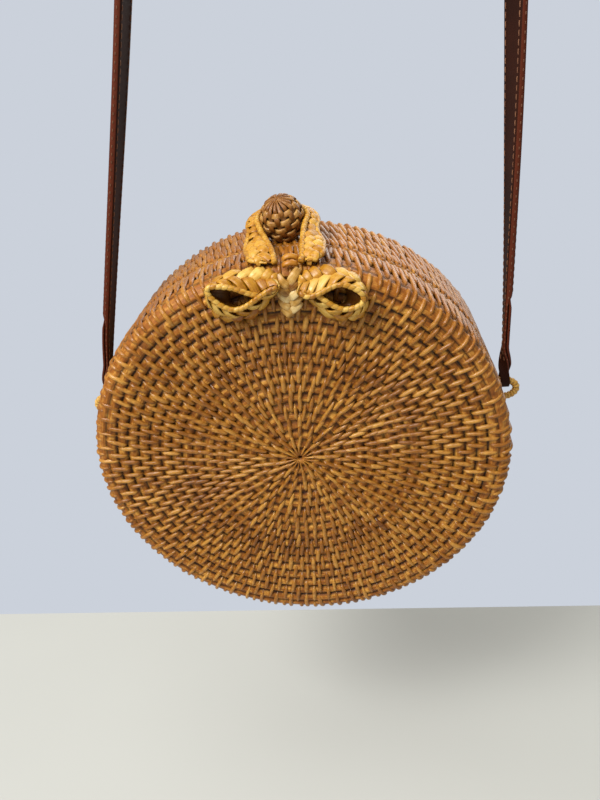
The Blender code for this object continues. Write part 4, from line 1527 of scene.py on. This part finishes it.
@dataclass
class ClosingLoop:
    """The plaited strip that rises from the bow and goes round the ball."""
    finish: StrandFinish
    pivot: tuple[float, float, float] = (0.0025, -0.0280, 0.0974)
    slope: float = math.radians(15)
    tilt: float = math.radians(-34)
    neck: float = math.radians(13)
    inner: float = 0.0110
    foot_half: float = 0.0051
    left_width: float = 0.0120
    right_width: float = 0.0100
    bend_width: float = 0.0060
    belly: float = 0.0028

    def leg(self, side: int, centre: np.ndarray) -> tuple[np.ndarray, ...]:
        """Bends one leg from the bow to the ball.

        Args:
            side: 1 for the right leg or -1 for the left one.
            centre: The ball's middle, in the strip's own plane.

        Returns:
            Places, outward ways, shares of the leg's length and the side, from the bow up.
        """
        start = np.array((self.pivot[0] + side * self.foot_half, 0.0))
        end = centre + np.array((side * math.cos(self.neck), -math.sin(self.neck))) * self.inner
        reach = np.linalg.norm(end - start)
        end_pull = np.array((side * math.sin(self.neck), math.cos(self.neck))) * reach
        t = np.linspace(0, 1, 40, endpoint=False)[:, None]
        place = (start * (2 * t ** 3 - 3 * t ** 2 + 1) + np.array((0.0, reach)) * (t ** 3 - 2 * t ** 2 + t)
                 + end * (3 * t ** 2 - 2 * t ** 3) + end_pull * (t ** 3 - t ** 2))
        travel = unit(np.gradient(place, axis=0))
        outward = np.stack([travel[:, 1] * side, -travel[:, 0] * side], -1)
        return place, outward, t[:, 0], np.full(40, side)

    def strip(self) -> Strip:
        """Bends the whole strip, right leg first.

        Returns:
            The strip.
        """
        _, south, rise = self.pivot
        centre = np.array((BALL_MIDDLE[0], math.hypot(BALL_MIDDLE[1] - south, BALL_RISE - rise)))
        angle = np.linspace(-self.neck, math.pi + self.neck, 60)
        outward = np.stack([np.cos(angle), np.sin(angle)], -1)
        bend = (centre + outward * self.inner, outward, np.ones(60), np.ones(60))
        last = (entry[::-1] for entry in self.leg(-1, centre))
        place, outward, share, side = (np.concatenate(parts)
                                       for parts in zip(self.leg(1, centre), bend, last))
        ends = np.where(side < 0, self.left_width, self.right_width)
        width = ends + (self.bend_width - ends) * smooth(share)
        width = width + self.belly * np.sin(math.pi * share ** 1.4) ** 2
        width = width * (0.30 + 0.70 * np.sqrt(1 - np.maximum(1 - share / 0.20, 0) ** 2))
        east = np.array((1.0, 0.0, 0.0))
        back = np.array((0.0, math.cos(self.slope), math.sin(self.slope)))
        lift = np.array((0.0, -math.sin(self.slope), math.cos(self.slope)))
        tilt = (self.tilt * smooth(share))[:, None]
        flat = outward[:, :1] * east + outward[:, 1:] * back
        across = flat * np.cos(tilt) + lift * np.sin(tilt)
        edge = place[:, :1] * east + place[:, 1:] * back + np.array((0, south, rise))
        ruler = travelled(edge + across * width[:, None] / 2)
        return Strip(ruler / ruler[-1], edge, across, lift * np.cos(tilt) - flat * np.sin(tilt), width)

    def build(self) -> None:
        """Plaits the strip and rolls both its edges."""
        strip = self.strip()
        gather = Strands(Section.STRAP, closed=True)
        outer = part_of(strip.place, 0.10, 0.78)
        Plait(25, 0.00255, lift=0.0004, sweep=0.7, past=0.85, shingle=0.22, edges=(1.0,), seed=41).weave(
            gather, outer)
        for seed, way, begin, reach in ((42, 1.0, 0.012, 0.20), (43, -1.0, 0.988, -0.20)):
            low_part = part_of(outer, 0.0, 0.86, begin, reach)
            Plait(4, 0.00215, lift=0.0013, sweep=1.1, seed=seed).weave(gather, low_part, way)
        plait = gather.mesh("loop_plait", self.finish)
        # painted shade: the layer under the plait is darkened through its tone and height numbers
        levels = {"tint": 0.5, "tone": -0.10, "blush": 0.4, "height": 0.60}
        layer = under_layer("loop_backing", strip.place, np.linspace(0.005, 0.995, 150),
                            np.linspace(-0.85, 0.94, 5), -0.0004, 9, self.finish, levels)
        steps = 420
        along = np.linspace(0, 1, steps)
        normal = read_off(along, strip.ruler, strip.up)
        rolled = strip.place(along, np.full(steps, -0.84)) + normal * 0.0002
        rim = wound("loop_rim", rolled, normal, 0.00135, 0.0021, 0.3, self.finish, ring=False)
        slim = 0.0005 + 0.0007 * smooth(np.minimum(along, 1 - along) / 0.06)
        hemmed = strip.place(along, np.full(steps, 0.94)) + normal * 0.0004
        hem = wound("loop_hem", hemmed, normal, slim, 0.0036, 0.16, self.finish, ring=False, sides=12)
        for item in (plait, layer, rim, hem):
            settle(item, Body.CLASP, "closing_loop")


# Strap

class Band(NamedTuple):
    """Stations of a band: its middle, its way across, its outer normal, its width and its thickness."""
    centre: np.ndarray
    across: np.ndarray
    normal: np.ndarray
    width: np.ndarray
    thick: np.ndarray

    def cut(self, part: slice) -> "Band":
        """Some of the stations, or all the other way round."""
        return Band(*(entries[part] for entries in self))

    def then(self, *others: "Band") -> "Band":
        """This band, joined to others end to end."""
        return Band(*(np.concatenate(parts) for parts in zip(self, *others)))


@dataclass
class Strap:
    """The leather strap: one band folded back through each ring and sewn."""
    leather: LeatherFinish
    thread: ThreadFinish
    rise: float = 0.5400
    width: float = 0.0120
    end_width: float = 0.0044
    thickness: float = 0.0030
    ply: float = 0.00135
    glue: float = 0.0003
    top_radius: float = 0.0280
    lean: float = 0.0360
    foot: float = 0.0197
    foot_reach: float = 0.1019
    ring_radius: float = 0.0016
    tab: float = 0.0460
    tab_steps: int = 40
    fold_steps: int = 12

    def __post_init__(self) -> None:
        """Works out where the legs meet the top bend."""
        self.top_centre = self.foot + self.rise - self.top_radius
        self.line_radius = self.top_radius + self.thickness / 2
        rise = self.top_centre - self.foot
        distance = math.hypot(self.foot_reach, rise)
        self.slope = math.atan2(self.foot_reach, rise) - math.asin(self.line_radius / distance)
        self.head = self.top_centre + self.line_radius * math.sin(self.slope)

    def centre(self, side: int, height: np.ndarray) -> np.ndarray:
        """Finds the strap's middle line.

        Args:
            side: -1 for the left leg or 1 for the right one.
            height: Heights above the bag's middle.

        Returns:
            The places.
        """
        above = height - self.foot
        share = np.minimum(above / (self.head - self.foot), 1)
        middle = self.lean * (1 - (1 - share) ** 1.5)
        half = self.foot_reach - above * math.tan(self.slope)
        half = half + (0.0024 if side > 0 else -0.0028) * np.sin(math.pi * share)
        if side < 0:
            half = half + 0.0014 * (smooth(above / 0.04) - smooth((above - 0.06) / 0.14))
        return np.stack([middle + side * half, np.full(height.shape, SET_BACK), height], -1)

    def frame(self, side: int, height: np.ndarray) -> tuple[np.ndarray, np.ndarray]:
        """Finds how a leg is turned.

        Args:
            side: -1 for the left leg or 1 for the right one.
            height: Heights above the bag's middle.

        Returns:
            The upward way and the outer face's normal.
        """
        upward = unit(self.centre(side, np.minimum(height + 0.004, self.head))
                      - self.centre(side, np.minimum(height, self.head - 1e-4)))
        north = np.array((0.0, 1.0, 0.0))
        outer = unit(np.cross(north, upward)) * side
        above = height - self.foot
        share = above / (self.head - self.foot)
        turn = QUARTER * smooth(above / 0.0200)
        turn = turn - math.radians(11 if side < 0 else 37) * np.sin(math.pi * share) ** 2
        if side > 0:
            turn = turn + math.radians(10) * np.maximum(smooth(above / 0.0200) - smooth(share / 0.26), 0)
        return upward, north * np.cos(turn)[:, None] + outer * np.sin(turn)[:, None]

    def wide(self, height: np.ndarray) -> np.ndarray:
        """Width, pared towards the ring."""
        return self.end_width + (self.width - self.end_width) * smooth((height - self.foot) / 0.0400)

    def spread(self, height: np.ndarray) -> np.ndarray:
        """Finds half the distance between the two plies' middles.

        Args:
            height: Heights above the bag's middle.

        Returns:
            The half distances.
        """
        closed = (self.ply + self.glue) / 2
        opened = self.ring_radius + 0.0008 + self.ply / 2
        return opened + (closed - opened) * smooth((height - self.foot) / 0.0120)

    def leg(self, side: int) -> Band:
        """Lays one leg, with its folded end first.

        Args:
            side: -1 for the left leg or 1 for the right one.

        Returns:
            Its stations.
        """
        skive = self.foot + self.tab
        low = np.linspace(self.tab, 0, self.tab_steps) + self.foot
        upward, normal = self.frame(side, low)
        across = np.cross(upward, normal) * -side
        slim = self.ply * (0.25 + 0.75 * np.clip((skive - low) / 0.006, 0, 1))
        lap = self.spread(low) - (self.ply - slim) / 2
        tab = Band(self.centre(side, low) + normal * lap[:, None], across, -normal, self.wide(low), slim)
        angle = np.linspace(0, math.pi, self.fold_steps + 2)[1:-1]
        down = np.stack([np.zeros(self.fold_steps), -np.cos(angle), np.sin(angle)], -1)
        foot = np.array([self.foot])
        fold = Band(self.centre(side, foot) - down * self.spread(foot),
                    across[-1:].repeat(self.fold_steps, 0), down,
                    np.full(self.fold_steps, self.end_width), np.full(self.fold_steps, self.ply))
        high = np.concatenate([np.linspace(self.foot, skive, 40),
                               np.linspace(skive + 0.0003, skive + 0.0043, 5),
                               np.linspace(skive + 0.008, self.head, 90)])
        upward, normal = self.frame(side, high)
        thick = self.ply + (self.thickness - self.ply) * np.clip((high - skive + 0.0050) / 0.0060, 0, 1)
        shift = (thick - self.thickness) / 2 + (self.ply + self.glue) / 2 - self.spread(high)
        main = Band(self.centre(side, high) + normal * shift[:, None], np.cross(upward, normal) * -side,
                    normal, self.wide(high), thick)
        return tab.then(fold, main)

    def top(self) -> Band:
        """Lays the top bend, from left to right.

        Returns:
            Its stations.
        """
        angle = np.linspace(math.pi - self.slope, self.slope, 26)[1:-1]
        level = np.zeros(24)
        outward = np.stack([np.cos(angle), level, np.sin(angle)], -1)
        middle = np.array((self.lean, SET_BACK, self.top_centre))
        return Band(middle + outward * self.line_radius, np.tile((0.0, -1.0, 0.0), (24, 1)), outward,
                    level + self.width, level + self.thickness)

    def build(self) -> None:
        """Makes the band and its sewing."""
        left, top, right = self.leg(-1), self.top(), self.leg(1)
        above_fold = slice(self.tab_steps + self.fold_steps, None)
        backwards = slice(None, None, -1)
        whole = left.then(top, right.cut(backwards))
        sewn = left.cut(above_fold).then(top, right.cut(above_fold).cut(backwards))
        for item in (self.leather_band(whole), self.sewing(sewn)):
            settle(item, Body.STRAP, "strap")

    def leather_band(self, band: Band) -> bpy.types.Object:
        """Makes the leather, with rounded edges and a groove along each row of sewing.

        Args:
            band: The whole strap's stations.

        Returns:
            The object.
        """
        corner = ((1.0, 0.30), (0.975, 0.72), (0.90, 0.97), (0.72, 1.0), (0.60, 0.94))
        right = [(1.0, -0.30), (1.015, 0.0), *corner]
        left = [(-wide, deep) for wide, deep in corner[::-1]]
        below = [(-wide, -deep) for wide, deep in corner[1:]]
        last = [(wide, -deep) for wide, deep in corner[:0:-1]]
        outline = np.array([*right, (0.0, 1.0), *left, (-1.015, 0.0), (-1.0, -0.30), *below, (0.0, -1.0),
                            *last])
        reach = outline[:, :1] * band.width[:, None, None] / 2
        rise = outline[:, 1:] * band.thick[:, None, None] / 2
        points = band.centre[:, None] + band.across[:, None] * reach + band.normal[:, None] * rise
        size = points.shape[:2]
        cut_edge = (np.abs(outline[:, 0]) > 0.95).astype(float)
        numbers = {"edge": np.broadcast_to(cut_edge, size),
                   "along": np.broadcast_to(travelled(band.centre)[:, None], size)}
        return mesh_object("strap_band", points, quads(*size), numbers, self.leather, end_caps(*size))

    def sewing(self, band: Band) -> bpy.types.Object:
        """Sews two rows of stitches along each face and one along each edge.

        Args:
            band: The strap's stations, without its folded ends.

        Returns:
            The object.
        """
        rng = np.random.default_rng(5)
        run = travelled(band.centre)
        pitch = 0.0033
        count = int((run[-1] - 0.016) / pitch)
        share = np.linspace(0, 1, 5)[None]
        where = (0.008 + pitch * np.arange(count))[:, None] + pitch * 0.66 * share
        arch = (np.sin(math.pi * share) ** 0.5)[..., None]
        place, across, normal, width, thick = (read_off(where, run, table) for table in band)
        gather = Strands(Section.THREAD)
        for row in (-1, 1):
            for face in (-1, 1):
                path = (place + across * (width / 2 - 0.0016) * row
                        + normal * face * (thick / 2 + 0.00002 + 0.00012 * arch))
                gather.add(path, normal * face, 0.00026, 0.00020, rng.uniform(0, 1, count))
            path = place + across * row * (width / 2 * 1.01 + 0.00004 + 0.00008 * arch)
            gather.add(path[:, 1:4], (across * row)[:, 1:4], 0.00026, 0.00022, rng.uniform(0, 0.4, count))
        return gather.mesh("strap_sewing", self.thread)


# Studio

@dataclass(frozen=True)
class Lamp:
    """A soft square lamp that shines at the bag."""
    name: str
    place: tuple[float, float, float]
    size: float
    power: float
    colour: Colour
    aim: tuple[float, float, float] = (-0.036, 0.0, -0.56)

    def build(self) -> None:
        """Hangs the lamp."""
        data = bpy.data.lights.new(self.name, "AREA")
        data.size = self.size
        data.energy = self.power
        data.color = self.colour
        lamp = bpy.data.objects.new(self.name, data)
        bpy.context.scene.collection.objects.link(lamp)
        lamp.location = self.place
        way = Vector(self.aim) - Vector(self.place)
        lamp.rotation_euler = way.to_track_quat("-Z", "Y").to_euler()


@dataclass
class Studio:
    """Floor, lamps, the pale wall's colour all round, and the camera."""
    wall: Colour = srgb(203, 209, 219)
    glow: Colour = (0.345, 0.338, 0.325)
    floor: StudioFinish = StudioFinish("studio_floor", srgb(196, 197, 192))
    floor_level: float = -0.815
    floor_half: float = 2.0
    floor_near: float = -1.6
    floor_far: float = 0.12
    lamps: tuple[Lamp, ...] = (Lamp("key_lamp", (-0.55, -0.60, 0.35), 0.45, 13.5, (1.0, 0.985, 0.96)),
                               Lamp("fill_lamp", (0.9, -0.9, -0.25), 1.2, 0.5, (1.0, 0.985, 0.97)),
                               Lamp("top_lamp", (-0.30, -0.20, 0.62), 0.9, 5.6, (1.0, 1.0, 0.98)),
                               Lamp("back_lamp", (0.45, 1.10, 0.10), 1.2, 9.0, (1.0, 1.0, 0.98)))
    camera_place: tuple[float, float, float] = (-0.005888, -0.317093, -0.375396)
    pitch: float = 0.494
    yaw: float = -0.098
    roll: float = -0.087
    lens: float = 31.5

    def build(self) -> None:
        """Sets the stage round the bag."""
        corners = np.array([(x, y, self.floor_level) for x, y in (
            (-self.floor_half, self.floor_near), (self.floor_half, self.floor_near),
            (self.floor_half, self.floor_far), (-self.floor_half, self.floor_far))]) + HANG
        mesh_object("studio_ground", corners, np.array([[0, 1, 2, 3]]), {}, self.floor, flat=True)
        for lamp in self.lamps:
            lamp.build()
        self.surroundings()
        self.camera()

    def surroundings(self) -> None:
        """Lights the bag softly from all round, and shows the camera the pale wall's colour."""
        world = bpy.data.worlds.new("studio_world")
        bpy.context.scene.world = world
        world.use_nodes = True
        graph = Graph(world.node_tree)
        rays = graph.node("ShaderNodeLightPath").outputs
        seen = Value(graph, rays["Is Camera Ray"]) + Value(graph, rays["Is Transmission Ray"])
        background = world.node_tree.nodes["Background"]
        graph.feed(background.inputs[0], graph.mixed(seen.clamped(), self.glow, self.wall))

    def camera(self) -> None:
        """Takes the photograph's point of view."""
        data = bpy.data.cameras.new("photo_camera")
        data.lens = self.lens
        data.sensor_width = 36.0
        data.clip_start = 0.01
        camera = bpy.data.objects.new("photo_camera", data)
        bpy.context.scene.collection.objects.link(camera)
        forward = np.array((math.sin(self.yaw) * math.cos(self.pitch),
                            math.cos(self.yaw) * math.cos(self.pitch), -math.sin(self.pitch)))
        right = np.array((math.cos(self.yaw), -math.sin(self.yaw), 0.0))
        upward = np.cross(right, forward)
        table = np.eye(4)
        table[:3, 0] = math.cos(self.roll) * right + math.sin(self.roll) * upward
        table[:3, 1] = -math.sin(self.roll) * right + math.cos(self.roll) * upward
        table[:3, 2] = -forward
        table[:3, 3] = self.camera_place
        camera.matrix_world = Matrix(table.tolist())
        bpy.context.scene.camera = camera


# The whole bag

# In each strand and coil finish, deep is the painted shade colour for where the weave lies low
FACE_STRAW = StrandFinish("woven_straw", deep=srgb(26, 10, 2), dark=srgb(88, 44, 8), body=srgb(150, 92, 20),
                          light=srgb(224, 168, 76), blush=srgb(170, 102, 30), roughness=0.31)
FACE_COIL = CoilFinish("coiled_straw", deep=srgb(22, 8, 2), dark=srgb(84, 40, 6), body=srgb(156, 92, 20),
                       light=srgb(230, 170, 74), blush=srgb(160, 94, 30))
BALL_STRAW = StrandFinish("ball_rush", deep=srgb(34, 16, 5), dark=srgb(88, 48, 12), body=srgb(144, 90, 30),
                          light=srgb(224, 176, 96), blush=srgb(140, 82, 34), roughness=0.38)
PALE_STRAW = StrandFinish("pale_plait", deep=srgb(58, 24, 4), dark=srgb(140, 78, 8), body=srgb(192, 136, 34),
                          light=srgb(232, 194, 100), blush=srgb(176, 98, 10), streaks=5.0, variety=0.7,
                          roughness=0.36, relief=0.00008)
KNOT_STRAW = StrandFinish("knot_plait", deep=srgb(36, 16, 4), dark=srgb(112, 66, 14),
                          body=srgb(192, 144, 64), light=srgb(232, 206, 146), blush=srgb(122, 70, 18),
                          streaks=5.0, variety=0.8, roughness=0.36, relief=0.00008)
LOOP_STRAW = StrandFinish("loop_plait", deep=srgb(60, 26, 4), dark=srgb(146, 82, 10),
                          body=srgb(194, 136, 34), light=srgb(228, 184, 84), blush=srgb(172, 96, 12),
                          streaks=5.0, variety=0.5, roughness=0.36, relief=0.00008)
RING_STRAW = StrandFinish("ring_straw", deep=srgb(64, 28, 6), dark=srgb(160, 100, 28),
                          body=srgb(208, 156, 62), light=srgb(242, 206, 122), blush=srgb(214, 138, 30),
                          streaks=4.0, roughness=0.38, relief=0.00008)


def main() -> None:
    """Builds the bag and its studio."""
    logging.basicConfig(level=logging.INFO, format="%(name)s: %(message)s")
    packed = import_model()
    bpy.context.scene.view_settings.view_transform = "Standard"
    front = HalfForm(depth=0.029, facing=-1)
    back = HalfForm(depth=0.047, facing=1)
    Studio().build()
    WovenHalf("front", front, Body.FRONT, FACE_COIL, FACE_STRAW, ClothFinish()).build()
    WovenHalf("back", back, Body.BACK, FACE_COIL, FACE_STRAW, ClothFinish(),
              wall_levels=(0.0360, 0.0240, 0.0125, 0.0013), seed=4).build()
    CaneFinish().paint(packed["nodes"]["knob_stalk"])
    Ball(BALL_STRAW).build()
    SideRings(RING_STRAW).build()
    HingeLashings(RING_STRAW).build()
    Bow(PALE_STRAW, KNOT_STRAW, front).build()
    ClosingLoop(LOOP_STRAW).build()
    Strap(LeatherFinish(), ThreadFinish()).build()
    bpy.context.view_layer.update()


if __name__ == "__main__":
    main()
